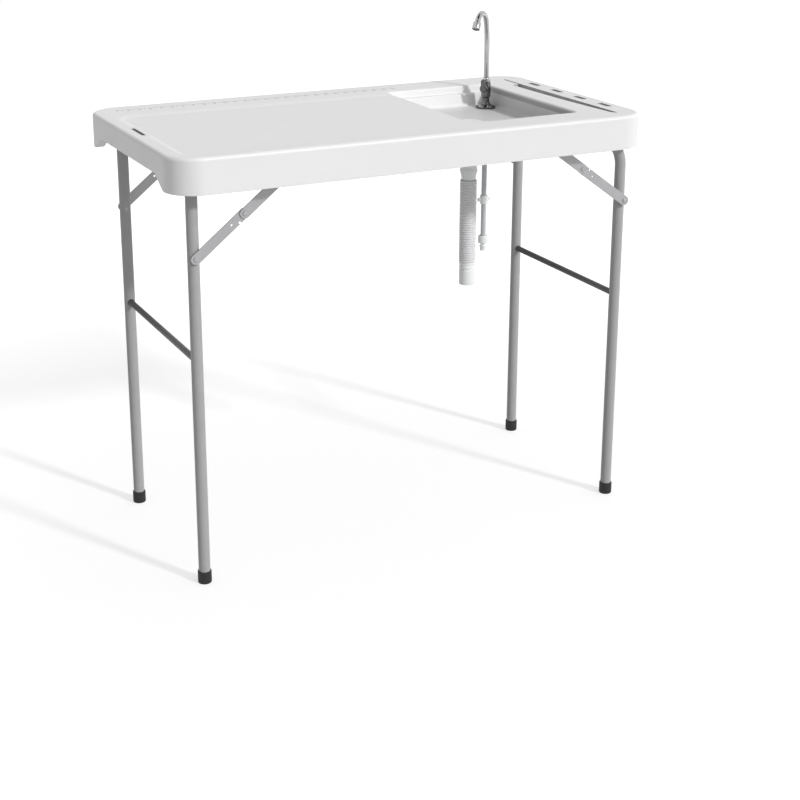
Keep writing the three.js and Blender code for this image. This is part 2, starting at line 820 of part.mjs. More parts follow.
const buildStrainer = () => {
  const bottom = basinUnderside - drain.throatDrop;
  const seat = basinFloor + fitGap;
  let body = turned(drainPlace.x, drainPlace.y, [
    [drain.throatBore, bottom],
    [drain.throatRadius, bottom],
    [drain.throatRadius, seat],
    [drain.flangeRadius, seat],
    [drain.flangeRadius, seat + drain.flangeThickness / 2],
    [drain.flangeRadius - drain.flangeThickness / 2, seat + drain.flangeThickness],
    [drain.throatBore, seat + drain.flangeThickness],
    [drain.throatBore, bottom],
  ]);
  const spokeTop = basinFloor;
  const spokeBottom = spokeTop - drain.spokeDepth;
  const reach = (drain.throatBore + drain.throatRadius) / 2;
  for (let step = 0; step < drain.spokeCount; step += 1) {
    const shape = new THREE.BoxGeometry(reach, drain.spokeWidth, drain.spokeDepth);
    shape.translate(reach / 2, 0, 0);
    shape.rotateZ((2 * Math.PI * step) / drain.spokeCount + Math.PI / 2);
    shape.translate(drainPlace.x, drainPlace.y, (spokeTop + spokeBottom) / 2);
    body = body.add(solidOf(shape));
  }
  return body.add(uprightRod(drain.hubRadius, drainPlace.x, drainPlace.y, spokeBottom, spokeTop));
};

const nutTop = basinUnderside - fitGap;
const nutBottom = nutTop - drain.nutHeight;
const buildLocknut = () => {
  const nut = uprightRod(drain.nutRadius, drainPlace.x, drainPlace.y, nutBottom, nutTop, drain.nutSides);
  const bore = uprightRod(
    drain.throatRadius + fitGap,
    drainPlace.x,
    drainPlace.y,
    nutBottom - cutOverrun,
    nutTop + cutOverrun,
    largeSides,
  );
  return nut.subtract(bore);
};

const buildTailpiece = () => {
  const collarTop = nutBottom - fitGap;
  const collarBottom = collarTop - tail.collarHeight;
  const throatEnd = basinUnderside - drain.throatDrop - fitGap;
  const coneBottom = hoseTop + fitGap;
  const rimBottom = coneBottom + tail.coneHeight;
  const rimTop = rimBottom + tail.rimHeight;
  const sleeve = drain.throatRadius + fitGap;
  return turned(drainPlace.x, drainPlace.y, [
    [tail.bore, coneBottom],
    [tail.coneRadius, coneBottom],
    [tail.radius, rimBottom],
    [tail.rimRadius, rimBottom],
    [tail.rimRadius, rimTop],
    [tail.radius, rimTop],
    [tail.radius, collarBottom - tail.shoulder],
    [tail.collarRadius, collarBottom],
    [tail.collarRadius, collarTop],
    [sleeve, collarTop],
    [sleeve, throatEnd],
    [tail.bore, throatEnd],
    [tail.bore, coneBottom],
  ]);
};

// The ribbed hose: two rings to a rib outside, and a plain bore with a ring every few ribs
const buildDrainHose = () => {
  const { length } = drainHose;
  const ribs = Math.round(length / drainHose.ribPitch);
  const pitch = length / ribs;
  const rings = [{ radius: drainHose.valleyRadius, z: hoseBottom }];
  for (let rib = 0; rib < ribs; rib += 1) {
    const z = hoseBottom + pitch * rib;
    rings.push({ radius: drainHose.crestRadius, z: z + pitch * drainHose.crestShare });
    rings.push({ radius: drainHose.valleyRadius, z: z + pitch });
  }
  const boreRings = Math.ceil(ribs / drainHose.boreEvery);
  for (let step = boreRings; step >= 0; step -= 1) {
    rings.push({ radius: drainHose.boreRadius, z: hoseBottom + (length * step) / boreRings });
  }
  const positions = [];
  for (const { radius, z } of rings) {
    for (let side = 0; side < drainHose.sides; side += 1) {
      const angle = (2 * Math.PI * (side + 0.5)) / drainHose.sides;
      positions.push(
        drainPlace.x + radius * Math.cos(angle),
        drainPlace.y + radius * Math.sin(angle),
        z,
      );
    }
  }
  const index = [];
  for (let ring = 0; ring < rings.length; ring += 1) {
    const next = (ring + 1) % rings.length;
    for (let side = 0; side < drainHose.sides; side += 1) {
      const turn = (side + 1) % drainHose.sides;
      const a = ring * drainHose.sides + side;
      const b = ring * drainHose.sides + turn;
      const c = next * drainHose.sides + turn;
      const d = next * drainHose.sides + side;
      index.push(a, b, c, a, c, d);
    }
  }
  const geometry = new THREE.BufferGeometry();
  geometry.setAttribute('position', new THREE.Float32BufferAttribute(positions, 3));
  geometry.setIndex(index);
  return solidOf(geometry);
};

const buildCuff = () => {
  const profile = [
    [cuff.bore, cuffBottom],
    [cuff.radius, cuffBottom],
  ];
  for (const share of [...cuff.grooveShares].reverse()) {
    const middle = cuffBottom + cuff.height * share;
    const half = cuff.grooveWidth / 2;
    profile.push([cuff.radius, middle - half]);
    profile.push([cuff.radius - cuff.grooveDepth, middle - half + cuff.grooveDepth]);
    profile.push([cuff.radius - cuff.grooveDepth, middle + half - cuff.grooveDepth]);
    profile.push([cuff.radius, middle + half]);
  }
  profile.push([cuff.radius, cuffTop]);
  profile.push([cuff.bore, cuffTop]);
  profile.push([cuff.bore, cuffBottom]);
  return turned(drainPlace.x, drainPlace.y, profile);
};

addPiece('drain_strainer', buildStrainer(), fittingLook);
addPiece('drain_locknut', buildLocknut(), fittingLook);
addPiece('drain_tailpiece', buildTailpiece(), fittingLook);
addPiece('drain_hose', buildDrainHose(), hoseLook);
addPiece('drain_hose_cuff', buildCuff(), fittingLook);

// Faucet: gasket, flange, valve body with its shank, lever, gooseneck spout and aerator
const faucet = {
  gasketRadius: 23,
  gasketThickness: 1.5,
  flangeRadius: 24,
  flangeRim: 2.5,
  flangeThickness: 7,
  neckRadius: 9,
  neckRise: 25,
  bodyRadius: 11.5,
  bodyRise: 63,
  bodyRound: 2,
  hubRise: 48,
  hubRadius: 10,
  hubReach: 17,
  leverThickness: 3.5,
  leverDiscRadius: 8,
  leverWidth: 11,
  leverLength: 24,
  leverPinRadius: 3,
  leverPinDepth: 5,
};
const leverHeading = (218 * Math.PI) / 180;
const spoutHeading = (220 * Math.PI) / 180;
const spout = {
  radius: 7,
  collarRadius: 10,
  collarHeight: 7,
  straight: 90,
  gentleRadius: 200,
  gentleLean: (16 * Math.PI) / 180,
  gentleSteps: 3,
  tightRadius: 33,
  endLean: (147 * Math.PI) / 180,
  tightSteps: 9,
  outlet: 1,
  sides: 12,
};
const aerator = { radius: 10, height: 20, collar: 8.5, shoulder: 3, bore: 7.5 };
const wingNut = { radius: 15, height: 14, wingReach: 26, wingThickness: 5 };

const flangeBottom = basinFloor + fitGap + faucet.gasketThickness + fitGap;
const flangeTop = flangeBottom + faucet.flangeThickness;
const shankBottom = basinUnderside - shank.drop;
const neckTop = basinFloor + faucet.neckRise;
const bodyTop = basinFloor + faucet.bodyRise;

const buildGasket = () => turned(faucetPlace.x, faucetPlace.y, [
  [shankHoleRadius, basinFloor + fitGap],
  [faucet.gasketRadius, basinFloor + fitGap],
  [faucet.gasketRadius, basinFloor + fitGap + faucet.gasketThickness],
  [shankHoleRadius, basinFloor + fitGap + faucet.gasketThickness],
  [shankHoleRadius, basinFloor + fitGap],
]);

const buildFlange = () => turned(faucetPlace.x, faucetPlace.y, [
  [shankHoleRadius, flangeBottom],
  [faucet.flangeRadius, flangeBottom],
  [faucet.flangeRadius, flangeBottom + faucet.flangeRim],
  [faucet.neckRadius + faucet.flangeRim, flangeTop],
  [shankHoleRadius, flangeTop],
  [shankHoleRadius, flangeBottom],
]);

const leverWay = new THREE.Vector3(Math.cos(leverHeading), Math.sin(leverHeading), 0);
const hubMiddle = new THREE.Vector3(faucetPlace.x, faucetPlace.y, basinFloor + faucet.hubRise);

const buildFaucetBody = () => {
  let body = turned(faucetPlace.x, faucetPlace.y, [
    [0, shankBottom],
    [shank.radius, shankBottom],
    [shank.radius, flangeTop + fitGap],
    [faucet.bodyRadius, flangeTop + fitGap],
    [faucet.bodyRadius, flangeTop + fitGap + faucet.bodyRound],
    [faucet.neckRadius, flangeTop + fitGap + 2 * faucet.bodyRound],
    [faucet.neckRadius, neckTop],
    [faucet.bodyRadius, neckTop + faucet.bodyRound],
    [faucet.bodyRadius, bodyTop - faucet.bodyRound],
    [faucet.bodyRadius - faucet.bodyRound, bodyTop],
    [0, bodyTop],
  ]);
  const hubEnd = hubMiddle.clone().addScaledVector(leverWay, faucet.hubReach);
  body = body.add(rod(faucet.hubRadius, hubMiddle, hubEnd));
  const pinIn = hubEnd.clone().addScaledVector(leverWay, -faucet.leverPinDepth - fitGap);
  const pinOut = hubEnd.clone().addScaledVector(leverWay, cutOverrun);
  return body.subtract(rod(faucet.leverPinRadius + fitGap, pinIn, pinOut, smallSides));
};

// The lever turns on a short pin in the hub, its blade standing up when closed
const buildLever = () => {
  const blade = new THREE.Shape();
  const half = faucet.leverWidth / 2;
  blade.absarc(0, 0, faucet.leverDiscRadius, (3 * Math.PI) / 4, Math.PI / 4, false);
  blade.lineTo(half, faucet.leverLength - half);
  blade.absarc(0, faucet.leverLength - half, half, 0, Math.PI, false);
  const options = { depth: faucet.leverThickness, bevelEnabled: false, curveSegments: smallSides / 2 };
  const geometry = new THREE.ExtrudeGeometry(blade, options);
  geometry.rotateX(Math.PI / 2);
  geometry.rotateZ(leverHeading + Math.PI / 2);
  const start = hubMiddle.clone();
  start.addScaledVector(leverWay, faucet.hubReach + fitGap);
  const outer = start.clone().addScaledVector(leverWay, faucet.leverThickness);
  geometry.translate(start.x, start.y, start.z);
  const pinIn = hubMiddle.clone();
  pinIn.addScaledVector(leverWay, faucet.hubReach - faucet.leverPinDepth);
  return solidOf(geometry).add(rod(faucet.leverPinRadius, pinIn, outer, smallSides));
};

// Centre line of the spout: straight, then a gentle bend, then the tight one over the basin
const spoutWay = new THREE.Vector3(Math.cos(spoutHeading), Math.sin(spoutHeading), 0);
const spoutBase = bodyTop + fitGap;
const spoutFoot = new THREE.Vector3(faucetPlace.x, faucetPlace.y, spoutBase + spout.collarHeight / 2);
const gentleStart = new THREE.Vector3(faucetPlace.x, faucetPlace.y, bodyTop + spout.straight);
const gentle = bendPoints(
  gentleStart,
  spoutWay,
  0,
  spout.gentleLean,
  spout.gentleRadius,
  spout.gentleSteps,
);
const tight = bendPoints(
  gentle[spout.gentleSteps],
  spoutWay,
  spout.gentleLean,
  spout.endLean,
  spout.tightRadius,
  spout.tightSteps,
);
const spoutEnd = stepOn(tight[spout.tightSteps], spoutWay, spout.endLean, spout.outlet);

const buildSpout = () => {
  const collar = turned(faucetPlace.x, faucetPlace.y, [
    [0, spoutBase],
    [spout.collarRadius, spoutBase],
    [spout.collarRadius, spoutBase + spout.collarHeight - faucet.bodyRound],
    [spout.collarRadius - faucet.bodyRound, spoutBase + spout.collarHeight],
    [0, spoutBase + spout.collarHeight],
  ]);
  const points = [spoutFoot, ...gentle, ...tight.slice(1), spoutEnd];
  return collar.add(tubeThrough(points, spout.radius, spout.sides));
};

const buildAerator = () => {
  const start = stepOn(spoutEnd, spoutWay, spout.endLean, fitGap);
  const way = stepOn(new THREE.Vector3(), spoutWay, spout.endLean, aerator.height).normalize();
  return turnedAlong(start, way, [
    [0, 0],
    [aerator.collar, 0],
    [aerator.radius, aerator.shoulder],
    [aerator.radius, aerator.height],
    [aerator.bore, aerator.height],
    [aerator.bore, aerator.shoulder],
    [0, aerator.shoulder],
  ]);
};

const buildWingNut = () => {
  const wingTop = basinUnderside - fitGap;
  const wingBottom = wingTop - wingNut.height;
  const { x, y } = faucetPlace;
  const half = wingNut.wingThickness / 2;
  const hub = uprightRod(wingNut.radius, x, y, wingBottom, wingTop);
  const wings = block(
    x - wingNut.wingReach,
    x + wingNut.wingReach,
    y - half,
    y + half,
    wingBottom,
    wingTop - wingNut.wingThickness,
  );
  const bore = uprightRod(shankHoleRadius, x, y, wingBottom - cutOverrun, wingTop + cutOverrun, largeSides);
  return hub.add(wings).subtract(bore);
};

addPiece('faucet_gasket', buildGasket(), capLook);
addPiece('faucet_flange', buildFlange(), chromeLook);
addPiece('faucet_body', buildFaucetBody(), chromeLook);
addPiece('faucet_lever', buildLever(), chromeLook);
addPiece('faucet_spout', buildSpout(), chromeLook);
addPiece('faucet_aerator', buildAerator(), chromeLook);
addPiece('faucet_wing_nut', buildWingNut(), fittingLook);

// Water supply under the faucet: hose, coupling with two ears, hose, connector and its nipple
const supply = {
  radius: 6.5,
  sides: 12,
  upperLength: 182.9,
  couplingHeight: 21,
  lowerLength: 81.4,
  couplingRadius: 10,
  earReach: 17,
  earThickness: 6,
  earHeight: 9,
  connectorHeight: 19,
  connectorRadius: 12.5,
  connectorRound: 3,
  nippleHeight: 19,
  nippleRadius: 7.5,
  nippleRing: 1.5,
};
const upperSteps = 6;
const lowerSteps = 3;

const upperHoseTop = shankBottom - fitGap;
const couplingTop = upperHoseTop - supply.upperLength - fitGap;
const couplingBottom = couplingTop - supply.couplingHeight;
const lowerHoseTop = couplingBottom - fitGap;
const connectorTop = lowerHoseTop - supply.lowerLength - fitGap;

// Points of a hose that hangs straight down under the faucet
const hangingRoute = (routeTop, length, steps) => {
  const points = [];
  for (let step = 0; step <= steps; step += 1) {
    const z = routeTop - (length * step) / steps;
    points.push(new THREE.Vector3(faucetPlace.x, faucetPlace.y, z));
  }
  return points;
};

const buildSupplyHose = (routeTop, length, steps) =>
  tubeThrough(hangingRoute(routeTop, length, steps), supply.radius, supply.sides);

const buildCoupling = () => {
  const { x, y } = faucetPlace;
  const middle = (couplingTop + couplingBottom) / 2;
  const barrel = uprightRod(supply.couplingRadius, x, y, couplingBottom, couplingTop);
  const ears = block(
    x - supply.earReach,
    x + supply.earReach,
    y - supply.earThickness / 2,
    y + supply.earThickness / 2,
    middle - supply.earHeight / 2,
    middle + supply.earHeight / 2,
  );
  return barrel.add(ears);
};

const connectorBottom = connectorTop - supply.connectorHeight;
const buildConnector = () => turned(faucetPlace.x, faucetPlace.y, [
  [0, connectorBottom],
  [supply.nippleRadius, connectorBottom],
  [supply.connectorRadius, connectorBottom + supply.connectorRound],
  [supply.connectorRadius, connectorTop - supply.connectorRound],
  [supply.connectorRadius - supply.connectorRound, connectorTop],
  [0, connectorTop],
]);

const buildNipple = () => {
  const nippleTop = connectorBottom - fitGap;
  const bottom = nippleTop - supply.nippleHeight;
  const ringTop = nippleTop - supply.nippleHeight / 3;
  return turned(faucetPlace.x, faucetPlace.y, [
    [0, bottom],
    [supply.nippleRadius, bottom],
    [supply.nippleRadius, ringTop - 2 * supply.nippleRing],
    [supply.nippleRadius + supply.nippleRing, ringTop - supply.nippleRing],
    [supply.nippleRadius, ringTop],
    [supply.nippleRadius - supply.nippleRing, ringTop + supply.nippleRing],
    [supply.nippleRadius - supply.nippleRing, nippleTop],
    [0, nippleTop],
  ]);
};

addPiece('supply_hose_upper', buildSupplyHose(upperHoseTop, supply.upperLength, upperSteps), supplyLook);
addPiece('supply_coupling', buildCoupling(), fittingLook);
addPiece('supply_hose_lower', buildSupplyHose(lowerHoseTop, supply.lowerLength, lowerSteps), supplyLook);
addPiece('hose_connector', buildConnector(), fittingLook);
addPiece('connector_nipple', buildNipple(), fittingLook);

export default table;
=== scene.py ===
import json
import math

import bmesh
import bpy
from mathutils import Matrix, Vector


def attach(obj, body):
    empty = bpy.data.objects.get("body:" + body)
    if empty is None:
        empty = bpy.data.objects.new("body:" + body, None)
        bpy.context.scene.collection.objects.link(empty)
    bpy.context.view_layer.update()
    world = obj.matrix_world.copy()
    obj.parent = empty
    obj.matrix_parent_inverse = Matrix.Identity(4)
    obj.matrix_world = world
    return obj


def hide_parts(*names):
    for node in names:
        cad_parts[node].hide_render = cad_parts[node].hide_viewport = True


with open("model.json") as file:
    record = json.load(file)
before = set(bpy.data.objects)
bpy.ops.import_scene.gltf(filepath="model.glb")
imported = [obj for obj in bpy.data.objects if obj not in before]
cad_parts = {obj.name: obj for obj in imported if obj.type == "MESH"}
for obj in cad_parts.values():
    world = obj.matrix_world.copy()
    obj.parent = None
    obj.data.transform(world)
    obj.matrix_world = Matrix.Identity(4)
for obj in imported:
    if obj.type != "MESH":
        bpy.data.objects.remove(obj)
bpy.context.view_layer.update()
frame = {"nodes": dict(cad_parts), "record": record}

# Shapes are worked out in millimetres in the CAD frame and stored in metres.
mm = 0.001
scene = bpy.context.scene
bodies = frame["record"]["behaviour"]["bodies"]
bodyOf = {node: body for body, nodes in bodies.items() for node in nodes}
sides = {"front": -1, "back": 1}


# Camera
def aimCamera(spec):
    turn, drop, roll = (math.radians(spec[word]) for word in ("heading", "drop", "roll"))
    level = math.cos(drop)
    ahead = Vector((math.sin(turn) * level, math.cos(turn) * level, -math.sin(drop)))
    right = Vector((math.cos(turn), -math.sin(turn), 0))
    up = right.cross(ahead)
    facing = Matrix((right, up, -ahead)).transposed() @ Matrix.Rotation(roll, 3, "Z")
    data = bpy.data.cameras.new("photo_camera")
    data.lens = spec["lens"]
    data.sensor_width = spec["sensor"]
    data.shift_x, data.shift_y = spec["shift"]
    camera = bpy.data.objects.new("photo_camera", data)
    camera.matrix_world = Matrix.Translation(spec["place"]) @ facing.to_4x4()
    scene.collection.objects.link(camera)
    scene.camera = camera


aimCamera({
    "place": (-1.491, -3.104, 1.591),
    "heading": 26.75,
    "drop": 17.18,
    "roll": 0.19,
    "lens": 69.98,
    "sensor": 36,
    "shift": (0.0059, -0.1375),
})


# Looks
def node(tree, kind, **inputs):
    made = tree.nodes.new(kind)
    for name, value in inputs.items():
        made.inputs[name.replace("_", " ")].default_value = value
    return made


# A math node. Each value is a number for its socket or an output that is linked to it.
def mathNode(tree, operation, *values):
    made = tree.nodes.new("ShaderNodeMath")
    made.operation = operation
    for place, value in enumerate(values):
        if isinstance(value, (int, float)):
            made.inputs[place].default_value = value
        else:
            tree.links.new(value, made.inputs[place])
    return made.outputs[0]


# Painted shade: the plastic's colour is darkened in the basin, on the upper band of its right wall, in
# the grooves and slots and in the slit, where shade falls deepest.
# Each axis has the metres where the painted shade begins, is full, is full no more and ends.
topPaintedShade = [
    {  # basin
        "X": (0.135, 0.165, 0.428, 0.440),
        "Y": (-0.228, -0.216, 0.130, 0.185),
        "Z": (0.890, 0.894, 0.936, 0.943),
        "tone": 0.80,
    },
    {  # upper band of the basin's right wall
        "X": (0.416, 0.419, 0.426, 0.428),
        "Y": (-0.218, -0.208, 0.190, 0.204),
        "Z": (0.929, 0.931, 0.939, 0.943),
        "tone": 0.62,
    },
    {  # groove, channel and tool slots
        "X": (0.478, 0.480, 0.540, 0.542),
        "Y": (-0.262, -0.258, 0.250, 0.254),
        "Z": (0.890, 0.894, 0.9435, 0.9448),
        "tone": 0.50,
    },
    {  # slit at the left end
        "X": (-0.540, -0.538, -0.522, -0.520),
        "Y": (-0.056, -0.054, 0.054, 0.056),
        "Z": (0.890, 0.894, 0.9435, 0.9448),
        "tone": 0.45,
    },
]


# Darkens the colour inside one zone: painted shade.
def stained(tree, place, colour, shadeZone):
    parts = tree.nodes.new("ShaderNodeSeparateXYZ")
    tree.links.new(place, parts.inputs[0])
    share = None
    for axis in "XYZ":
        start, full, fullEnd, end = shadeZone[axis]
        for low, high in ((start, full), (end, fullEnd)):
            edge = node(tree, "ShaderNodeMapRange", From_Min=low, From_Max=high)
            tree.links.new(parts.outputs[axis], edge.inputs["Value"])
            inside = edge.outputs["Result"]
            share = inside if share is None else mathNode(tree, "MULTIPLY", share, inside)
    shadeMix = tree.nodes.new("ShaderNodeMix")
    shadeMix.data_type = "RGBA"
    shadeMix.blend_type = "MULTIPLY"
    shadeMix.inputs["B"].default_value = (shadeZone["tone"],) * 3 + (1,)
    tree.links.new(share, shadeMix.inputs["Factor"])
    tree.links.new(colour, shadeMix.inputs["A"])
    return shadeMix.outputs["Result"]


# Base colour that varies a little, with painted shade in the listed zones, roughness that varies, and
# fine relief, all in object space.
def makeLook(name, spec):
    look = bpy.data.materials.new(name)
    look.use_nodes = True
    tree = look.node_tree
    shader = tree.nodes["Principled BSDF"]
    link = tree.links.new
    place = tree.nodes.new("ShaderNodeTexCoord").outputs["Object"]

    clouds = node(tree, "ShaderNodeTexNoise", Scale=spec["cloudScale"], Detail=5.0, Roughness=0.6)
    link(place, clouds.inputs["Vector"])
    tint = tree.nodes.new("ShaderNodeMix")
    tint.data_type = "RGBA"
    tint.inputs["A"].default_value = (*spec["dark"], 1)
    tint.inputs["B"].default_value = (*spec["light"], 1)
    link(clouds.outputs["Fac"], tint.inputs["Factor"])
    colour = tint.outputs["Result"]

    if "spangle" in spec:
        cells = node(tree, "ShaderNodeTexVoronoi", Scale=spec["spangle"])
        link(place, cells.inputs["Vector"])
        spread = tree.nodes.new("ShaderNodeMix")
        spread.data_type = "RGBA"
        spread.blend_type = "MULTIPLY"
        spread.inputs["Factor"].default_value = spec["spangleDepth"]
        link(colour, spread.inputs["A"])
        grey = tree.nodes.new("ShaderNodeSeparateColor")
        link(cells.outputs["Color"], grey.inputs["Color"])
        link(grey.outputs["Red"], spread.inputs["B"])
        colour = spread.outputs["Result"]
    # Painted shade: the colour is darkened inside each listed zone.
    for shadeZone in spec.get("paintedShade", []):
        colour = stained(tree, place, colour, shadeZone)
    link(colour, shader.inputs["Base Color"])

    wear = node(tree, "ShaderNodeTexNoise", Scale=spec["wearScale"], Detail=4.0)
    link(place, wear.inputs["Vector"])
    smooth, coarse = spec["rough"]
    ramp = node(tree, "ShaderNodeMapRange", To_Min=smooth, To_Max=coarse)
    link(wear.outputs["Fac"], ramp.inputs["Value"])
    link(ramp.outputs["Result"], shader.inputs["Roughness"])

    grain = node(tree, "ShaderNodeTexNoise", Scale=spec["grainScale"], Detail=3.0)
    link(place, grain.inputs["Vector"])
    relief = node(tree, "ShaderNodeBump", Strength=spec["relief"], Distance=spec["reliefDepth"])
    link(grain.outputs["Fac"], relief.inputs["Height"])
    link(relief.outputs["Normal"], shader.inputs["Normal"])

    shader.inputs["Metallic"].default_value = spec.get("metal", 0.0)
    shader.inputs["Specular IOR Level"].default_value = spec.get("gloss", 0.5)
    shader.inputs["Subsurface Weight"].default_value = spec.get("glow", 0.0)
    if "glow" in spec:
        shader.inputs["Subsurface Radius"].default_value = (0.004, 0.004, 0.004)
        shader.inputs["Subsurface Scale"].default_value = 1.0
    return look


looks = {
    "top_plastic": makeLook("moulded_plastic", {
        "dark": (0.80, 0.80, 0.80),
        "light": (0.84, 0.84, 0.84),
        "cloudScale": 6,
        "wearScale": 14,
        "rough": (0.36, 0.52),
        "grainScale": 900,
        "relief": 0.25,
        "reliefDepth": 0.0004,
        "glow": 0.04,
        "paintedShade": topPaintedShade,
    }),
    "leg_steel": makeLook("coated_tube", {
        "dark": (0.37, 0.37, 0.375),
        "light": (0.43, 0.43, 0.435),
        "cloudScale": 40,
        "wearScale": 25,
        "rough": (0.38, 0.48),
        "grainScale": 1400,
        "relief": 0.15,
        "reliefDepth": 0.0002,
        "gloss": 0.25,
    }),
    "bar_steel": makeLook("coated_bar", {
        "dark": (0.060, 0.060, 0.061),
        "light": (0.080, 0.080, 0.081),
        "cloudScale": 40,
        "wearScale": 25,
        "rough": (0.38, 0.48),
        "grainScale": 1400,
        "relief": 0.15,
        "reliefDepth": 0.0002,
        "gloss": 0.25,
    }),
    "zinc_steel": makeLook("zinc_plate", {
        "dark": (0.40, 0.40, 0.41),
        "light": (0.48, 0.48, 0.49),
        "cloudScale": 30,
        "spangle": 500,
        "spangleDepth": 0.08,
        "wearScale": 25,
        "rough": (0.34, 0.44),
        "grainScale": 1200,
        "relief": 0.12,
        "reliefDepth": 0.0002,
        "metal": 0.35,
    }),
    "cap_rubber": makeLook("black_rubber", {
        "dark": (0.006, 0.006, 0.007),
        "light": (0.012, 0.012, 0.013),
        "cloudScale": 70,
        "wearScale": 60,
        "rough": (0.55, 0.75),
        "grainScale": 1500,
        "relief": 0.3,
        "reliefDepth": 0.0003,
    }),
    "faucet_chrome": makeLook("bright_chrome", {
        "dark": (0.42, 0.42, 0.43),
        "light": (0.54, 0.54, 0.55),
        "cloudScale": 50,
        "wearScale": 80,
        "rough": (0.05, 0.14),
        "grainScale": 400,
        "relief": 0.03,
        "reliefDepth": 0.0002,
        "metal": 1.0,
    }),
    # Painted shade: the spout's chrome with a darker colour, for the flange, valve body and lever,
    # standing in for the dark basin they reflect.
    "chrome_painted_shade": makeLook("shaded_chrome", {
        "dark": (0.13, 0.13, 0.135),
        "light": (0.25, 0.25, 0.255),
        "cloudScale": 50,
        "wearScale": 80,
        "rough": (0.04, 0.10),
        "grainScale": 400,
        "relief": 0.03,
        "reliefDepth": 0.0002,
        "metal": 1.0,
    }),
    "fitting_plastic": makeLook("white_fitting", {
        "dark": (0.86, 0.87, 0.87),
        "light": (0.92, 0.93, 0.93),
        "cloudScale": 60,
        "wearScale": 40,
        "rough": (0.30, 0.45),
        "grainScale": 1200,
        "relief": 0.12,
        "reliefDepth": 0.0002,
        "glow": 0.05,
    }),
    "drain_hose_plastic": makeLook("ribbed_hose", {
        "dark": (0.70, 0.70, 0.71),
        "light": (0.82, 0.82, 0.83),
        "cloudScale": 50,
        "wearScale": 40,
        "rough": (0.22, 0.36),
        "grainScale": 800,
        "relief": 0.15,
        "reliefDepth": 0.0003,
        "glow": 0.1,
    }),
    "supply_hose_plastic": makeLook("supply_tube", {
        "dark": (0.48, 0.50, 0.51),
        "light": (0.60, 0.62, 0.63),
        "cloudScale": 45,
        "wearScale": 40,
        "rough": (0.22, 0.36),
        "grainScale": 800,
        "relief": 0.08,
        "reliefDepth": 0.0002,
        "glow": 0.08,
    }),
    # Painted shade for the engraved ruler marks and numbers.
    "ruler_shade_paint": makeLook("ruler_shade_paint", {
        "dark": (0.10, 0.10, 0.10),
        "light": (0.16, 0.16, 0.16),
        "cloudScale": 90,
        "wearScale": 60,
        "rough": (0.5, 0.6),
        "grainScale": 900,
        "relief": 0.1,
        "reliefDepth": 0.0002,
    }),
}


# Shapes
# A line with its corners eased. A third number on a point is that corner's own radius.
def softLine(points, radius, closed=False, steps=4):
    eased = []
    for place, point in enumerate(points):
        here = Vector(point[:2])
        if not closed and place in (0, len(points) - 1):
            eased.append(here)
            continue
        toLast = Vector(points[place - 1][:2]) - here
        toNext = Vector(points[(place + 1) % len(points)][:2]) - here
        own = point[2] if len(point) > 2 else radius
        turn = math.pi - toLast.angle(toNext)
        if own <= 0 or turn < 0.03:
            eased.append(here)
            continue
        reach = min(own * math.tan(turn / 2), toLast.length * 0.48, toNext.length * 0.48)
        first = here + toLast.normalized() * reach
        last = here + toNext.normalized() * reach
        for step in range(steps + 1):
            share = step / steps
            rest = 1 - share
            eased.append(first * rest ** 2 + here * 2 * share * rest + last * share ** 2)
    return eased


# Points and faces of a body turned about Z, from radius and height pairs.
def turnedShape(profile, count, closed=False):
    points, rings, faces = [], [], []
    for radius, height in profile:
        if radius < 1e-6:
            rings.append([len(points)] * count)
            points.append(Vector((0, 0, height)))
            continue
        rings.append(list(range(len(points), len(points) + count)))
        for side in range(count):
            angle = 2 * math.pi * side / count
            points.append(Vector((radius * math.cos(angle), radius * math.sin(angle), height)))
    pairs = list(zip(rings, rings[1:]))
    if closed:
        pairs.append((rings[-1], rings[0]))
    for low, high in pairs:
        for side in range(count):
            after = (side + 1) % count
            corners = [low[side], low[after], high[after], high[side]]
            face = [c for spot, c in enumerate(corners) if c != corners[spot - 1]]
            if len(face) > 2:
                faces.append(face)
    return points, faces


def placed(shape, start, way=(0, 0, 1)):
    points, faces = shape
    turn = Vector((0, 0, 1)).rotation_difference(Vector(way))
    return [turn @ point + Vector(start) for point in points], faces


def mirrored(shape):
    points, faces = shape
    return [Vector((p[0], -p[1], p[2])) for p in points], [list(reversed(face)) for face in faces]


def together(*shapes):
    points, faces = [], []
    for morePoints, moreFaces in shapes:
        faces.extend([corner + len(points) for corner in face] for face in moreFaces)
        points.extend(morePoints)
    return points, faces


# Radii go front right, back right, back left, front left.
def roundedLoop(x0, x1, y0, y1, radii, steps=10):
    loop = []
    corners = (
        (x1 - radii[0], y0 + radii[0], radii[0], -90),
        (x1 - radii[1], y1 - radii[1], radii[1], 0),
        (x0 + radii[2], y1 - radii[2], radii[2], 90),
        (x0 + radii[3], y0 + radii[3], radii[3], 180),
    )
    for x, y, radius, start in corners:
        for step in range(steps + 1):
            angle = math.radians(start + 90 * step / steps)
            loop.append((x + radius * math.cos(angle), y + radius * math.sin(angle)))
    return loop


# Closed body through loops with equal counts, given as (loop, height) pairs, the lowest first.
def loftShape(sections):
    count = len(sections[0][0])
    points = [Vector((x, y, height)) for loop, height in sections for x, y in loop]
    faces = [list(range(count - 1, -1, -1))]
    for level in range(len(sections) - 1):
        for step in range(count):
            a, b = level * count + step, level * count + (step + 1) % count
            faces.append([a, b, b + count, a + count])
    faces.append(list(range((len(sections) - 1) * count, len(sections) * count)))
    return points, faces


def blockShape(x0, x1, y0, y1, z0, z1):
    loop = [(x0, y0), (x1, y0), (x1, y1), (x0, y1)]
    return loftShape([(loop, z0), (loop, z1)])


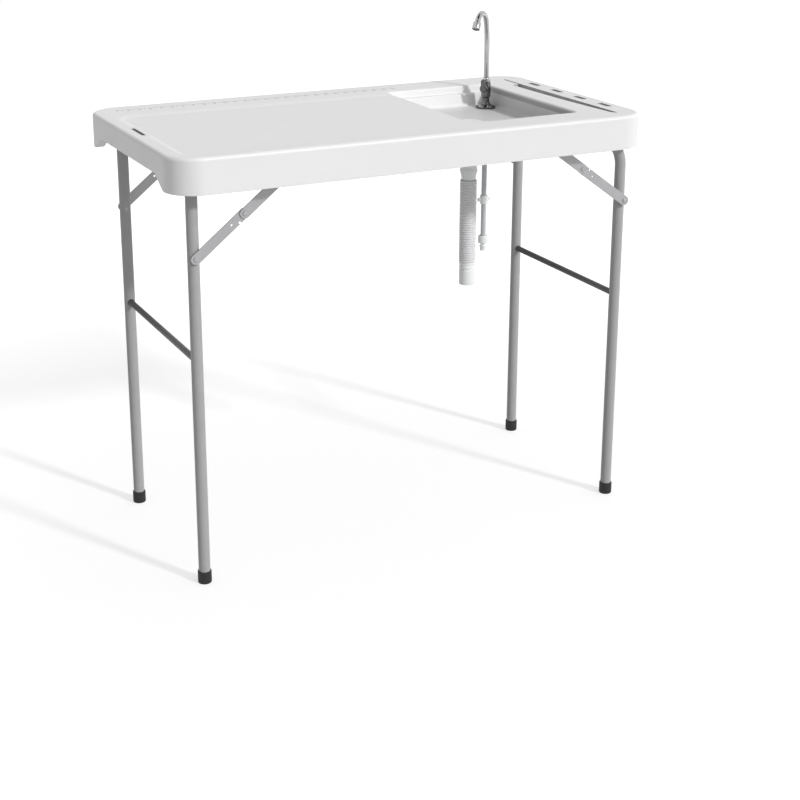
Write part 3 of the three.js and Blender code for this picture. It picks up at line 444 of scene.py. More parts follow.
# A flat body between two heights, its edges broken a little.
def plateShape(loop, low, high, edge=0.0):
    if not edge:
        return loftShape([(loop, low), (loop, high)])
    small = shrunk(loop, edge)
    return loftShape([(small, low), (loop, low + edge), (loop, high - edge), (small, high)])


# Moves each point of a counterclockwise loop inward.
def shrunk(loop, distance):
    moved = []
    for place, point in enumerate(loop):
        here = Vector(point)
        last = (here - Vector(loop[place - 1])).normalized()
        after = (Vector(loop[(place + 1) % len(loop)]) - here).normalized()
        along = (last + after).normalized()
        moved.append(tuple(here + Vector((-along.y, along.x)) * distance))
    return moved


# A round tube along points, with flat ends. The radius is a number or one for each point.
def tubeShape(path, radius, count=32):
    path = [Vector(point) for point in path]
    radii = radius if isinstance(radius, (list, tuple)) else [radius] * len(path)
    ways = []
    for place in range(len(path)):
        ahead = path[min(place + 1, len(path) - 1)] - path[max(place - 1, 0)]
        ways.append(ahead.normalized())
    side = ways[0].orthogonal().normalized()
    points, faces = [], []
    for place, centre in enumerate(path):
        if place:
            side = ways[place - 1].rotation_difference(ways[place]) @ side
        other = ways[place].cross(side)
        for step in range(count):
            angle = 2 * math.pi * step / count
            out = side * math.cos(angle) + other * math.sin(angle)
            points.append(centre + out * radii[place])
    for ring in range(len(path) - 1):
        for step in range(count):
            a, b = ring * count + step, ring * count + (step + 1) % count
            faces.append([a, b, b + count, a + count])
    faces.append(list(range(count - 1, -1, -1)))
    faces.append(list(range((len(path) - 1) * count, len(path) * count)))
    return points, faces


def rawObject(name, shape):
    points, faces = shape
    mesh = bpy.data.meshes.new(name)
    mesh.from_pydata([tuple(c * mm for c in point) for point in points], [], faces)
    work = bmesh.new()
    work.from_mesh(mesh)
    bmesh.ops.recalc_face_normals(work, faces=work.faces)
    work.to_mesh(mesh)
    work.free()
    made = bpy.data.objects.new(name, mesh)
    scene.collection.objects.link(made)
    return made


# Cuts the tools from the piece, or joins them to it, and drops the tools.
def combine(piece, tools, how="DIFFERENCE"):
    for tool in tools:
        change = piece.modifiers.new("combine", "BOOLEAN")
        change.operation = how
        change.solver = "MANIFOLD"
        change.object = tool
    graph = bpy.context.evaluated_depsgraph_get()
    graph.update()
    mesh = bpy.data.meshes.new_from_object(piece.evaluated_get(graph))
    piece.modifiers.clear()
    piece.data = mesh
    for tool in tools:
        bpy.data.objects.remove(tool)


def finishPiece(piece, look, nodes, body=None, sharp=35, weighted=False):
    piece.data.materials.clear()
    piece.data.materials.append(looks[look])
    piece.data.shade_smooth()
    piece.data.set_sharp_from_angle(angle=math.radians(sharp))
    if weighted:
        even = piece.modifiers.new("even_shading", "WEIGHTED_NORMAL")
        even.keep_sharp = True
        even.weight = 60
    if nodes:
        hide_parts(*nodes)
    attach(piece, body or bodyOf[nodes[0]])
    return piece


def newPiece(name, shape, look, nodes, body=None, sharp=35, weighted=False):
    return finishPiece(rawObject(name, shape), look, nodes, body, sharp, weighted)


# Supply hoses
supply = {
    "x": 393,
    "y": 148,
    "radius": 6.5,
    "upperHeights": (861.2, 830, 800, 770, 740, 710, 678.3),
    "lowerHeights": (656.7, 630, 602, 575.3),
}
fitting = {"cup": 8.4, "cupDepth": 5, "boss": 6.3}
couplingForm = {
    "low": 657,
    "high": 678,
    "radius": 10,
    "rim": 1.5,
    "earOut": 13,
    "earLow": 663,
    "earHigh": 672,
}
connectorForm = {"low": 556, "high": 575, "radius": 12.5, "rim": 3}
spot = (supply["x"], supply["y"], 0)
upperRoute = [(supply["x"], supply["y"], z) for z in supply["upperHeights"]]
lowerRoute = [(supply["x"], supply["y"], z) for z in supply["lowerHeights"]]


# Profile of a fitting with a ring-shaped recess round the hose at its top.
def cupped(spec):
    low, high, radius, rim = spec["low"], spec["high"], spec["radius"], spec["rim"]
    return softLine([
        (0, low),
        (radius - 0.6, low),
        (radius, low + 1.5),
        (radius, high - rim),
        (radius - rim * 0.4, high),
        (fitting["cup"], high, 0.4),
        (fitting["cup"], high - fitting["cupDepth"], 0.4),
        (fitting["boss"], high - fitting["cupDepth"], 0.4),
        (fitting["boss"], high),
        (0, high),
    ], 0.8)


barrel = placed(turnedShape(cupped(couplingForm), 40), spot)
ears = []
for way in (-1, 1):
    earX, earY = supply["x"] + way * couplingForm["earOut"], supply["y"]
    loop = roundedLoop(earX - 4, earX + 4, earY - 3, earY + 3, [1.2] * 4, 4)
    ears.append(plateShape(loop, couplingForm["earLow"], couplingForm["earHigh"], 0.8))
coupling = newPiece(
    "hose_coupling",
    together(barrel, *ears),
    "fitting_plastic",
    ["supply_coupling"],
)
connector = newPiece(
    "hose_end_connector",
    placed(turnedShape(cupped(connectorForm), 40), spot),
    "fitting_plastic",
    ["hose_connector"],
)
nippleLine = [
    (0, 536.7),
    (7.4, 536.7),
    (7.5, 537.4),
    (7.5, 545.7),
    (9, 547.9),
    (9, 548.4),
    (7.5, 549.4),
    (6, 550.9),
    (6, 555.7),
    (0, 555.7),
]
nipple = newPiece(
    "hose_end_nipple",
    placed(turnedShape(softLine(nippleLine, 0.4), 32), spot),
    "fitting_plastic",
    ["connector_nipple"],
)
upperHose = newPiece(
    "supply_tube_upper",
    tubeShape(upperRoute, supply["radius"], 36),
    "supply_hose_plastic",
    ["supply_hose_upper"],
)
lowerHose = newPiece(
    "supply_tube_lower",
    tubeShape(lowerRoute, supply["radius"], 36),
    "supply_hose_plastic",
    ["supply_hose_lower"],
)
print("supply hoses done")


# Table top
top = {
    "length": 1115,
    "width": 600,
    "high": 945,
    "low": 869,
    "slab": 925,
    "corner": 66,
    "edge": 8,
    "wall": 20,
    "notchPitch": 62,
    "notchHalf": 15.5,
    "notchDepth": 6,
}
halfX, halfY = top["length"] / 2, top["width"] / 2


def outerLoop(inset):
    radii = [top["corner"] - inset] * 4
    return roundedLoop(inset - halfX, halfX - inset, inset - halfY, halfY - inset, radii, 16)


def buildTop():
    sections = [
        (outerLoop(1.6), top["low"]),
        (outerLoop(0.4), top["low"] + 0.5),
        (outerLoop(0), top["low"] + 1.8),
    ]
    for step in range(9):
        angle = math.radians(90 * step / 8)
        inset = top["edge"] * (1 - math.cos(angle))
        sections.append((outerLoop(inset), top["high"] - top["edge"] * (1 - math.sin(angle))))
    body = rawObject("moulded_top", loftShape(sections))

    inX, inY = halfX - top["wall"], halfY - top["wall"]

    def hollowLoop(grow):
        x, y = inX + grow, inY + grow
        return roundedLoop(-x, x, -y, y, [20 + grow] * 4, 8)

    hollow = rawObject("hollow", loftShape([
        (hollowLoop(1.5), top["low"] - 5),
        (hollowLoop(1.5), top["low"]),
        (hollowLoop(0), top["low"] + 1.5),
        (hollowLoop(0), top["slab"] - 4),
        (hollowLoop(-1.2), top["slab"] - 1.2),
        (hollowLoop(-4), top["slab"]),
    ]))
    tools = [hollow]

    arch = softLine([
        (-260, 860, 0),
        (-238, 869, 0),
        (-232, 870, 10),
        (-186, 897, 26),
        (186, 897, 26),
        (232, 870, 10),
        (238, 869, 0),
        (260, 860, 0),
    ], 10, steps=8)
    for x0, x1 in ((-halfX - 5, 5 - inX), (inX - 5, halfX + 5)):
        points = [Vector((x, p[0], p[1])) for x in (x0, x1) for p in arch]
        count = len(arch)
        faces = [list(range(count)), list(range(2 * count - 1, count - 1, -1))]
        for step in range(count):
            after = (step + 1) % count
            faces.append([step, after, after + count, step + count])
        tools.append(rawObject("arch", (points, faces)))

    notches = []
    for step in range(-7, 8):
        x, half = step * top["notchPitch"], top["notchHalf"]
        for side in (-1, 1):
            y0, y1 = sorted((side * (inY - 5), side * (inY + top["notchDepth"])))
            notches.append(blockShape(x - half, x + half, y0, y1, top["low"] - 5, top["slab"] - 3))
    tools.append(rawObject("notches", together(*notches)))
    combine(body, tools)

    # Underside of the basin
    shellLoops = []
    for inset, height in ((6, 893.5), (2, 894.6), (0, 897.5)):
        x0, x1, y = 151 + inset, 452 - inset, 199 - inset
        shellLoops.append((roundedLoop(x0, x1, -y, y, [30 - inset] * 4, 8), height))
    for height in (top["slab"], top["slab"] + 8):
        shellLoops.append((roundedLoop(135, 457, -206, 206, [30] * 4, 8), height))
    combine(body, [rawObject("shell", loftShape(shellLoops))], "UNION")

    sink = {
        # Left, right, front, back, radius of the front left corner and of the others
        "floor": (168, 418, -190, 186, 56, 14),
        "mouth": (152, 421, -212, 201, 72, 10),
        "floorHeight": 897,
        "floorRound": 8,
        # How far from the floor's outline to the mouth's, and at what height
        "ledge": ((0.24, 925), (0.28, 926.4), (0.36, 927.2), (0.78, 928), (0.84, 928.7), (0.88, 930.5)),
        "rimHeight": 941,
        "rimRound": 4,
    }

    def basinLoop(share, grow):
        pairs = zip(sink["floor"], sink["mouth"])
        left, right, front, back, first, rest = (low + (high - low) * share for low, high in pairs)
        radii = [rest + grow, rest + grow, rest + grow, first + grow]
        return roundedLoop(left - grow, right + grow, front - grow, back + grow, radii, 12)

    basin = []
    for step in range(7):
        angle = math.radians(90 * step / 6)
        inward = sink["floorRound"] * (1 - math.sin(angle))
        height = sink["floorHeight"] + sink["floorRound"] * (1 - math.cos(angle))
        basin.append((basinLoop(0, -inward), height))
    basin += [(basinLoop(share, 0), height) for share, height in sink["ledge"]]
    for step in range(6):
        angle = math.radians(90 * step / 5)
        outward = sink["rimRound"] * (1 - math.cos(angle))
        height = sink["rimHeight"] + (sink["rimRound"] + 0.02) * math.sin(angle)
        basin.append((basinLoop(1, outward), height))
    basin.append((basinLoop(1, sink["rimRound"]), 955))

    # Work surface: shallow recess with soft edges
    def surfaceLoop(grow, ease):
        radii = [24 + grow, 24 + grow, 40 + grow, 40 + grow]
        return roundedLoop(-520 - grow, 160 + ease, -272 - grow, 178 + grow * 1.6, radii, 10)

    slopes = (
        (-8, 0, 942),
        (-5, 30, 942.25),
        (-2, 70, 943),
        (2, 115, 944),
        (5, 155, 944.75),
        (10, 190, 945.03),
        (10, 190, 950),
    )
    recess = [(surfaceLoop(grow, ease), height) for grow, ease, height in slopes]
    cutters = [rawObject("basin", loftShape(basin)), rawObject("recess", loftShape(recess))]

    # Slit at the left end, tool slots, groove and the wide channel beside it
    def softSlot(x, y0, y1, width, low, rim):
        def loop(grow):
            radius = width / 2 + grow
            return roundedLoop(x - radius, x + radius, y0 - grow, y1 + grow, [radius * 0.999] * 4, 6)

        return rawObject("slot", loftShape([
            (loop(0), low),
            (loop(0), top["high"] - rim),
            (loop(rim * 0.3), top["high"] - rim * 0.3),
            (loop(rim), top["high"] + 0.03),
            (loop(rim), top["high"] + 5),
        ]))

    cutters.append(softSlot(-530, -42, 42, 8.4, 900, 0.5))
    for middleY in (-160, -58, 44, 146):
        cutters.append(softSlot(528, middleY - 24, middleY + 24, 13, 900, 1.5))
    cutters.append(softSlot(497, -256, 240, 6, 934, 0.5))
    channel = [(489, -250), (496, -247), (496, 165), (474, 165), (473, 120), (476, -60), (482, -160)]
    cutters.append(rawObject("channel", loftShape([
        (shrunk(channel, 1), 930),
        (channel, 931),
        (channel, top["high"] + 5),
    ])))
    # Holes for the drain and the faucet
    for centre, radius in (((265, 0, 0), 23.3), ((393, 148, 0), 10.3)):
        bore = turnedShape([(0, 880), (radius, 880), (radius, 905), (0, 905)], 48)
        cutters.append(rawObject("hole", placed(bore, centre)))
    combine(body, cutters)

    # Pits of the moulded underside, a chequer of short bars, and smaller ones under the basin
    pits = []
    for column in range(30):
        for row in range(27):
            x = -504 + column * 34 + (17 if row % 2 else 0)
            y = -238 + row * 18.3
            clearOfBasin = x < 116 or x > 478
            if clearOfBasin and x <= 505 and abs(y) < 246:
                z0, z1 = top["slab"] - 5, top["slab"] + 2.6
                pits.append(blockShape(x - 12, x + 12, y - 5, y + 5, z0, z1))
    for column in range(9):
        for row in range(12):
            x, y = 172 + column * 32, -176 + row * 32
            clearOfHoles = math.hypot(x - 265, y) >= 44 and math.hypot(x - 393, y - 148) >= 34
            if clearOfHoles:
                pits.append(blockShape(x - 3.5, x + 3.5, y - 4.5, y + 4.5, 888, 895.2))
    combine(body, [rawObject("pits", together(*pits))])
    return finishPiece(body, "top_plastic", ["table_top"], weighted=True)


buildTop()
print("table top done")


# Ruler along the back rim. Its marks and numbers are thin dark inlays: painted shade standing in for
# the shade inside engraved marks.
ruler = {
    "first": -500,
    "inches": 27,
    "pitch": 25.4,
    "line": 251,
    "numberLine": 233,
    "numberSize": 11,
    "marks": ((0, 9), (0.5, 5), (0.25, 3), (0.75, 3)),
}


def buildRuler():
    marks = []
    first, pitch, line = ruler["first"], ruler["pitch"], ruler["line"]
    for inch in range(ruler["inches"] + 1):
        for part, reach in ruler["marks"]:
            x = first + (inch + part) * pitch
            if x < first + ruler["inches"] * pitch + 1:
                marks.append(blockShape(x - 1, x + 1, line - reach, line, 944.9, 945.03))
    made = rawObject("ruler_marks", together(*marks))
    graph = bpy.context.evaluated_depsgraph_get()
    pieces = [made]
    for inch in range(1, ruler["inches"] + 1):
        letters = bpy.data.curves.new("number", "FONT")
        letters.body = str(inch)
        letters.size = ruler["numberSize"] * mm
        letters.align_x = "CENTER"
        letters.extrude = 0.05 * mm
        holder = bpy.data.objects.new("number", letters)
        scene.collection.objects.link(holder)
        graph.update()
        mesh = bpy.data.meshes.new_from_object(holder.evaluated_get(graph))
        bpy.data.objects.remove(holder)
        number = bpy.data.objects.new("number", mesh)
        spot = ((first + inch * pitch) * mm, ruler["numberLine"] * mm, 944.97 * mm)
        number.data.transform(Matrix.Translation(spot))
        scene.collection.objects.link(number)
        pieces.append(number)
    work = bmesh.new()
    for piece in pieces:
        work.from_mesh(piece.data)
    work.to_mesh(made.data)
    work.free()
    for piece in pieces[1:]:
        bpy.data.objects.remove(piece)
    finishPiece(made, "ruler_shade_paint", [], body="table")


buildRuler()
print("ruler done")


# Leg frames
frames = {
    "left": {
        "pivot": -498,
        "way": 1,
        "legY": 228,
        "offset": 0,
        "end": 920,
        "bar": 504,
        "rivet": 726,
        "pin": (-301, 884),
        "knee": 0.537,
    },
    "right": {
        "pivot": 507,
        "way": -1,
        "legY": 224,
        "offset": 29,
        "end": 917,
        "bar": 507,
        "rivet": 736,
        "pin": (317, 895),
        "knee": 0.543,
    },
}
pivotHeight = 903
legTube = {"radius": 12.5, "foot": 4.3, "bend": 36, "bar": 7, "weld": 8.4}
capLine = softLine([
    (0, 0.05),
    (14.2, 0.05),
    (15, 2.4),
    (15, 25.6),
    (14.2, 28),
    (12.8, 28, 0.3),
    (12.8, 10),
    (0, 10),
], 1.2)


def legX(spec):
    return spec["pivot"] - spec["way"] * spec["offset"]


def legPath(spec, y):
    foot = legTube["foot"]
    if not spec["offset"]:
        return [(spec["pivot"], y, z) for z in (foot, 60, 460, 860, spec["end"] - 0.1)]
    sweep = math.radians(legTube["bend"])
    radius = spec["offset"] / (2 * (1 - math.cos(sweep)))
    start = pivotHeight - 2 * radius * math.sin(sweep)
    path = [(legX(spec), y, z) for z in (foot, 60, 460, start - 20)]
    for step in range(13):
        angle = sweep * step / 12
        aside = spec["way"] * radius * (1 - math.cos(angle))
        path.append((legX(spec) + aside, y, start + radius * math.sin(angle)))
    for step in range(1, 13):
        angle = sweep * (1 - step / 12)
        aside = spec["way"] * radius * (1 - math.cos(angle))
        path.append((spec["pivot"] - aside, y, pivotHeight - radius * math.sin(angle)))
    path.append((spec["pivot"], y, spec["end"]))
    return path


for name, spec in frames.items():
    x = legX(spec)
    for sideName, side in sides.items():
        start, y = f"{name}_{sideName}", side * spec["legY"]
        tube = tubeShape(legPath(spec, y), legTube["radius"], 48)
        newPiece(f"{start}_leg_tube", tube, "leg_steel", [f"{start}_leg"], sharp=50)
        cap = placed(turnedShape(capLine, 48), (x, y, 0))
        newPiece(f"{start}_foot", cap, "cap_rubber", [f"{start}_foot_cap"])
    reach = spec["legY"] - 12.2
    barPath = [(x, y, spec["bar"]) for y in (-reach, -reach + 3, 0, reach - 3, reach)]
    plain, weld = legTube["bar"], legTube["weld"]
    bar = tubeShape(barPath, [weld, plain, plain, plain, weld], 32)
    newPiece(f"{name}_cross_tube", bar, "bar_steel", [f"{name}_crossbar"], sharp=50)
    axlePath = [(spec["pivot"], y, pivotHeight) for y in (-260.5, -259.5, 259.5, 260.5)]
    newPiece(f"{name}_axle_rod", tubeShape(axlePath, [6, 7, 7, 6], 32), "zinc_steel", [f"{name}_axle"])
print("leg frames done")


# Braces
link = {
    "half": 11,
    "thick": 3,
    "edge": 0.4,
    "endHole": 4.2,
    "smallHole": 2.5,
    "smallHoleFromKnee": 36,
    "notchHalf": 2.5,
    "notchFromKnee": 20,
    "lowerInner": 244,
    "upperInner": 247.4,
}


# A flat link in the plane of X and Z, from inner outward, on the positive side.
# Holes are given as their distance from the start and their radius, the notch as its distance.
def linkShape(start, end, inner, holes, notch=None):
    start, end = Vector(start), Vector(end)
    along = end - start
    loop = []
    for centre, first in ((0.0, 90), (along.length, 270)):
        for step in range(19):
            angle = math.radians(first + 180 * step / 18)
            loop.append((centre + link["half"] * math.cos(angle), link["half"] * math.sin(angle)))
    body = rawObject("link", plateShape(loop, 0, link["thick"], link["edge"]))
    tools = []
    for distance, radius in holes:
        bore = turnedShape([(0, -2), (radius, -2), (radius, 5), (0, 5)], 24)
        tools.append(rawObject("hole", placed(bore, (distance, 0, 0))))
    if notch:
        x0, x1 = notch - link["notchHalf"], notch + link["notchHalf"]
        tools.append(rawObject("notch", blockShape(x0, x1, -11.5, -5.5, -2, 5)))
    combine(body, tools)
    # The flat link stands up in X and Z with its thickness outward in Y
    turn = Matrix((
        (along.x / along.length, -along.y / along.length, 0),
        (0, 0, 1),
        (along.y / along.length, along.x / along.length, 0),
    ))
    for vertex in body.data.vertices:
        flat = turn @ (vertex.co / mm)
        vertex.co = (flat + Vector((start.x, inner, start.y))) * mm
    points = [vertex.co / mm for vertex in body.data.vertices]
    faces = [list(face.vertices) for face in body.data.polygons]
    bpy.data.objects.remove(body)
    return points, faces


# A rivet across: shank from inner, optional collar, and a domed head on the outer side.
def headShape(x, z, inner, outer, shank, headOuter, collar=None):
    line = [(0, inner), (shank, inner)]
    if collar:
        line += [(shank, collar[0]), (7, collar[0]), (7, collar[1]), (shank, collar[1])]
    line += [
        (shank, outer),
        (5.5, outer, 0.2),
        (5.3, outer + 1.0),
        (3.6, headOuter - 0.3),
        (0, headOuter),
    ]
    return placed(turnedShape(softLine(line, 0.5), 32), (x, 0, z), (0, 1, 0))


railPinLine = softLine([
    (0, 244.6),
    (5, 244.6),
    (5.5, 245.2),
    (5.5, 247.1),
    (4, 247.1),
    (4, 250.7),
    (7, 250.7),
    (7, 254.7),
    (4, 254.7),
    (4, 256.8),
    (5.5, 256.8),
    (5.5, 259.3),
    (0, 259.3),
], 0.4)


for name, spec in frames.items():
    leg = Vector((legX(spec), spec["rivet"]))
    pin = Vector(spec["pin"])
    knee = leg.lerp(pin, spec["knee"])
    lowLength = (knee - leg).length
    highLength = (pin - knee).length
    ends = link["endHole"]
    lower = linkShape(leg, knee, link["lowerInner"], [
        (0, ends),
        (lowLength, ends),
        (lowLength - link["smallHoleFromKnee"], link["smallHole"]),
    ], lowLength - link["notchFromKnee"])
    upper = linkShape(knee, pin, link["upperInner"], [(0, ends), (highLength, ends)])
    legY = spec["legY"]
    legRivet = headShape(leg.x, leg.y, legY - 12.8, 247.3, 4, 249.8, (legY + 12.8, 243.7))
    kneeRivet = headShape(knee.x, knee.y, link["upperInner"], 250.7, 4, 253.2)
    railPin = placed(turnedShape(railPinLine, 32), (pin.x, 0, pin.y), (0, 1, 0))
    for sideName, side in sides.items():
        start = f"{name}_{sideName}"
        for label, shape in (
            ("lower_link", lower),
            ("upper_link", upper),
            ("leg_rivet", legRivet),
            ("knee_rivet", kneeRivet),
            ("rail_pin", railPin),
        ):
            own = mirrored(shape) if side < 0 else shape
            newPiece(f"{start}_{label}_made", own, "zinc_steel", [f"{start}_{label}"])
print("braces done")


# Drain
drain = {
    "place": (265, 0, 0),
    "spokeReach": 21.5,
    "spokeRadius": 2,
    "spokeHeight": 895,
    "nutCorner": 29.6,
    "nutHole": 23.3,
    "ribs": 35,
    "ribFoot": 18.4,
    "ribRise": 2.1,
    "hoseBore": 17,
    "hoseLow": 562.3,
    "hoseHigh": 761.7,
}
strainerLine = softLine([
    (20, 869.5),
    (23, 869.5),
    (23, 897.3),
    (31, 897.3),
    (31, 898.2),
    (30, 899.2),
    (21.5, 899.3),
    (20, 897.8),
], 0.5, closed=True)
hubLine = softLine([(0, 893), (6, 893), (6, 896.6), (0, 896.9)], 0.8)
pipeLine = softLine([
    (14, 762),
    (16.3, 762),
    (19, 779, 0.6),
    (20.5, 779.2),
    (20.5, 787.6),
    (19, 788.2),
    (19, 863.9),
    (27, 869.9),
    (27, 883.9),
    (23.3, 883.9),
    (23.3, 869.2),
    (14, 869.2),
], 0.8, closed=True)
cuffLine = softLine([
    (16, 507),
    (18.4, 507),
    (19, 508.5),
    (19, 543.6),
    (17.4, 544.6),
    (17.4, 546.6),
    (19, 547.6),
    (19, 552.2),
    (17.4, 553.2),
    (17.4, 555.2),
    (19, 556.2),
    (19, 561),
    (18, 562),
    (16, 562),
], 0.6, closed=True)


def buildStrainer():
    x, y, _ = drain["place"]
    height, reach = drain["spokeHeight"], drain["spokeReach"]
    spokes = []
    for step in range(3):
        angle = math.radians(90 + 120 * step)
        end = Vector((x + reach * math.cos(angle), y + reach * math.sin(angle), height))
        spokes.append(tubeShape([Vector((x, y, height)), end], drain["spokeRadius"], 16))
    ring = placed(turnedShape(strainerLine, 64, True), drain["place"])
    hub = placed(turnedShape(hubLine, 32), drain["place"])
    return together(ring, hub, *spokes)


def nutLoop(grow):
    radius = drain["nutCorner"] - grow
    angles = [math.radians(45 * corner + 22.5) for corner in range(8)]
    x, y, _ = drain["place"]
    return [(radius * math.cos(angle) + x, radius * math.sin(angle) + y) for angle in angles]


newPiece("sink_strainer", buildStrainer(), "fitting_plastic", ["drain_strainer"])
nut = rawObject("drain_nut", loftShape([
    (nutLoop(1.2), 884.2),
    (nutLoop(0), 885.4),
    (nutLoop(0), 892),
    (nutLoop(1.2), 893.2),
]))
nutHole = turnedShape([(0, 880), (drain["nutHole"], 880), (drain["nutHole"], 897), (0, 897)], 64)
combine(nut, [rawObject("hole", placed(nutHole, drain["place"]))])
finishPiece(nut, "fitting_plastic", ["drain_locknut"])
pipe = placed(turnedShape(pipeLine, 64, True), drain["place"])
newPiece("drain_pipe", pipe, "fitting_plastic", ["drain_tailpiece"])


def buildRibbedHose():
    low, high, ribs, foot = drain["hoseLow"], drain["hoseHigh"], drain["ribs"], drain["ribFoot"]
    pitch = (high - low) / ribs
    line = []
    for rib in range(ribs):
        for step in range(8):
            wave = 0.5 - 0.5 * math.cos(2 * math.pi * step / 8)
            line.append((foot + drain["ribRise"] * wave ** 0.7, low + pitch * (rib + step / 8)))
    line += [(foot, high), (drain["hoseBore"], high), (drain["hoseBore"], low)]
    return placed(turnedShape(line, 56, True), drain["place"])


newPiece("ribbed_hose", buildRibbedHose(), "drain_hose_plastic", ["drain_hose"], sharp=60)
cuff = placed(turnedShape(cuffLine, 56, True), drain["place"])
newPiece("hose_end_cuff", cuff, "fitting_plastic", ["drain_hose_cuff"])
print("drain done")


# Faucet
tap = {
    "place": (393, 148, 0),
    "hub": (393, 148, 945),
    "leverTurn": 218,
    "spoutTurn": 220,
    "straight": (962, 980, 1000, 1025),
    "bendFrom": 1050,
    "gentle": {"end": 16, "radius": 200, "steps": 10},
    "tight": {"end": 147, "radius": 33, "steps": 28},
    "spoutRadius": 6.72,
}
flangeLine = softLine([
    (10.3, 899.1),
    (24, 899.1, 0.2),
    (24, 901),
    (20, 903.4),
    (13, 904.6),
    (11.6, 906.1),
    (10.3, 906.1),
], 0.8, closed=True)
valveLine = softLine([
    (0, 861.5),
    (10, 861.5),
    (10, 906.4, 0.2),
    (11.5, 906.4, 0.2),
    (11.5, 908.4),
    (9, 910.4),
    (8.6, 916),
    (9, 922),
    (11.5, 926),
    (11.5, 957),
    (9, 960),
    (0, 960),
], 1.5, steps=6)
stubLine = softLine([(0, 0), (9.2, 0), (9.2, 13), (10, 13.6), (10, 16.4), (9.2, 17), (0, 17)], 0.6)
buttonLine = softLine([(0, 12.2), (3, 12.2), (3, 20.6), (0, 20.75)], 0.4)
collarLine = softLine([
    (0, 960.3),
    (9.6, 960.3),
    (10, 960.8),
    (10, 965.5),
    (8, 967.3),
    (7.2, 970),
    (0, 970),
], 0.8)
nozzleLine = softLine([
    (0, 0),
    (7.2, 0),
    (8.6, 1.4),
    (8.8, 3),
    (9.8, 4.4),
    (9.8, 18.6),
    (9.2, 20),
    (7.5, 20),
    (7.5, 15),
    (0, 15),
], 0.6)
gasket = turnedShape([(10.3, 897.3), (23, 897.3), (23, 898.8), (10.3, 898.8)], 48, True)
newPiece("tap_gasket", placed(gasket, tap["place"]), "cap_rubber", ["faucet_gasket"])
flange = placed(turnedShape(flangeLine, 64, True), tap["place"])
newPiece("tap_flange", flange, "chrome_painted_shade", ["faucet_flange"])
leverTurn = math.radians(tap["leverTurn"])
leverWay = Vector((math.cos(leverTurn), math.sin(leverTurn), 0))
hubPlace = Vector(tap["hub"])
valve = placed(turnedShape(valveLine, 48), tap["place"])
stub = placed(turnedShape(stubLine, 40), hubPlace, leverWay)
newPiece("tap_body", together(valve, stub), "chrome_painted_shade", ["faucet_body"])


def buildLever():
    outline = []
    for step in range(25):
        angle = math.radians(135 + 270 * step / 24)
        outline.append((8 * math.cos(angle), 8 * math.sin(angle)))
    for step in range(13):
        angle = math.radians(180 * step / 12)
        outline.append((5.5 * math.cos(angle), 18.5 + 5.5 * math.sin(angle)))
    points, faces = plateShape(outline, 17.4, 20.8, 0.7)
    cross = Vector((-math.sin(leverTurn), math.cos(leverTurn), 0))
    stood = [hubPlace + cross * p[0] + Vector((0, 0, p[1])) + leverWay * p[2] for p in points]
    button = placed(turnedShape(buttonLine, 24), hubPlace, leverWay)
    return together((stood, faces), button)


newPiece("tap_lever", buildLever(), "chrome_painted_shade", ["faucet_lever"])


# Points on an arc that starts at a lean from upright and ends at another, both in degrees.
def spoutArc(start, way, low, high, radius, steps):
    def out(lean):
        return Vector((0, 0, math.sin(lean))) - way * math.cos(lean)

    low, high = math.radians(low), math.radians(high)
    centre = start - out(low) * radius
    return [centre + out(low + (high - low) * step / steps) * radius for step in range(steps + 1)]


def buildSpout():
    turn = math.radians(tap["spoutTurn"])
    way = Vector((math.cos(turn), math.sin(turn), 0))
    x, y, _ = tap["place"]
    gentle, tight = tap["gentle"], tap["tight"]
    here = Vector((x, y, tap["bendFrom"]))
    soft = spoutArc(here, way, 0, gentle["end"], gentle["radius"], gentle["steps"])
    sharp = spoutArc(soft[-1], way, gentle["end"], tight["end"], tight["radius"], tight["steps"])
    lean = math.radians(tight["end"])
    along = way * math.sin(lean) + Vector((0, 0, math.cos(lean)))
    end = sharp[-1] + along
    path = [Vector((x, y, z)) for z in tap["straight"]] + soft + sharp[1:] + [end]
    collar = placed(turnedShape(collarLine, 40), tap["place"])
    return tubeShape(path, tap["spoutRadius"], 40), collar, end, along


tube, collar, outlet, outWay = buildSpout()
newPiece("tap_spout", together(tube, collar), "faucet_chrome", ["faucet_spout"], sharp=50)
aerator = placed(turnedShape(nozzleLine, 40), outlet + outWay * 0.3, outWay)
newPiece("tap_aerator", aerator, "faucet_chrome", ["faucet_aerator"])
print("faucet done")


# CAD pieces that stay: softened edges and a material of their own
kept = ["front_side_rail", "back_side_rail", "faucet_wing_nut"]
kept += [f"{side}_rail_clip_{count}" for side in sides for count in (1, 2, 3, 4)]
for name in kept:
    piece = frame["nodes"][name]
    look = looks["fitting_plastic" if name == "faucet_wing_nut" else "zinc_steel"]
    if piece.material_slots:
        for place in piece.material_slots:
            place.link = "OBJECT"
            place.material = look
    soft = piece.modifiers.new("soft_edges", "BEVEL")
    soft.width = 0.0004
    soft.segments = 2
    soft.limit_method = "ANGLE"
    soft.angle_limit = math.radians(50)
print("kept pieces dressed")


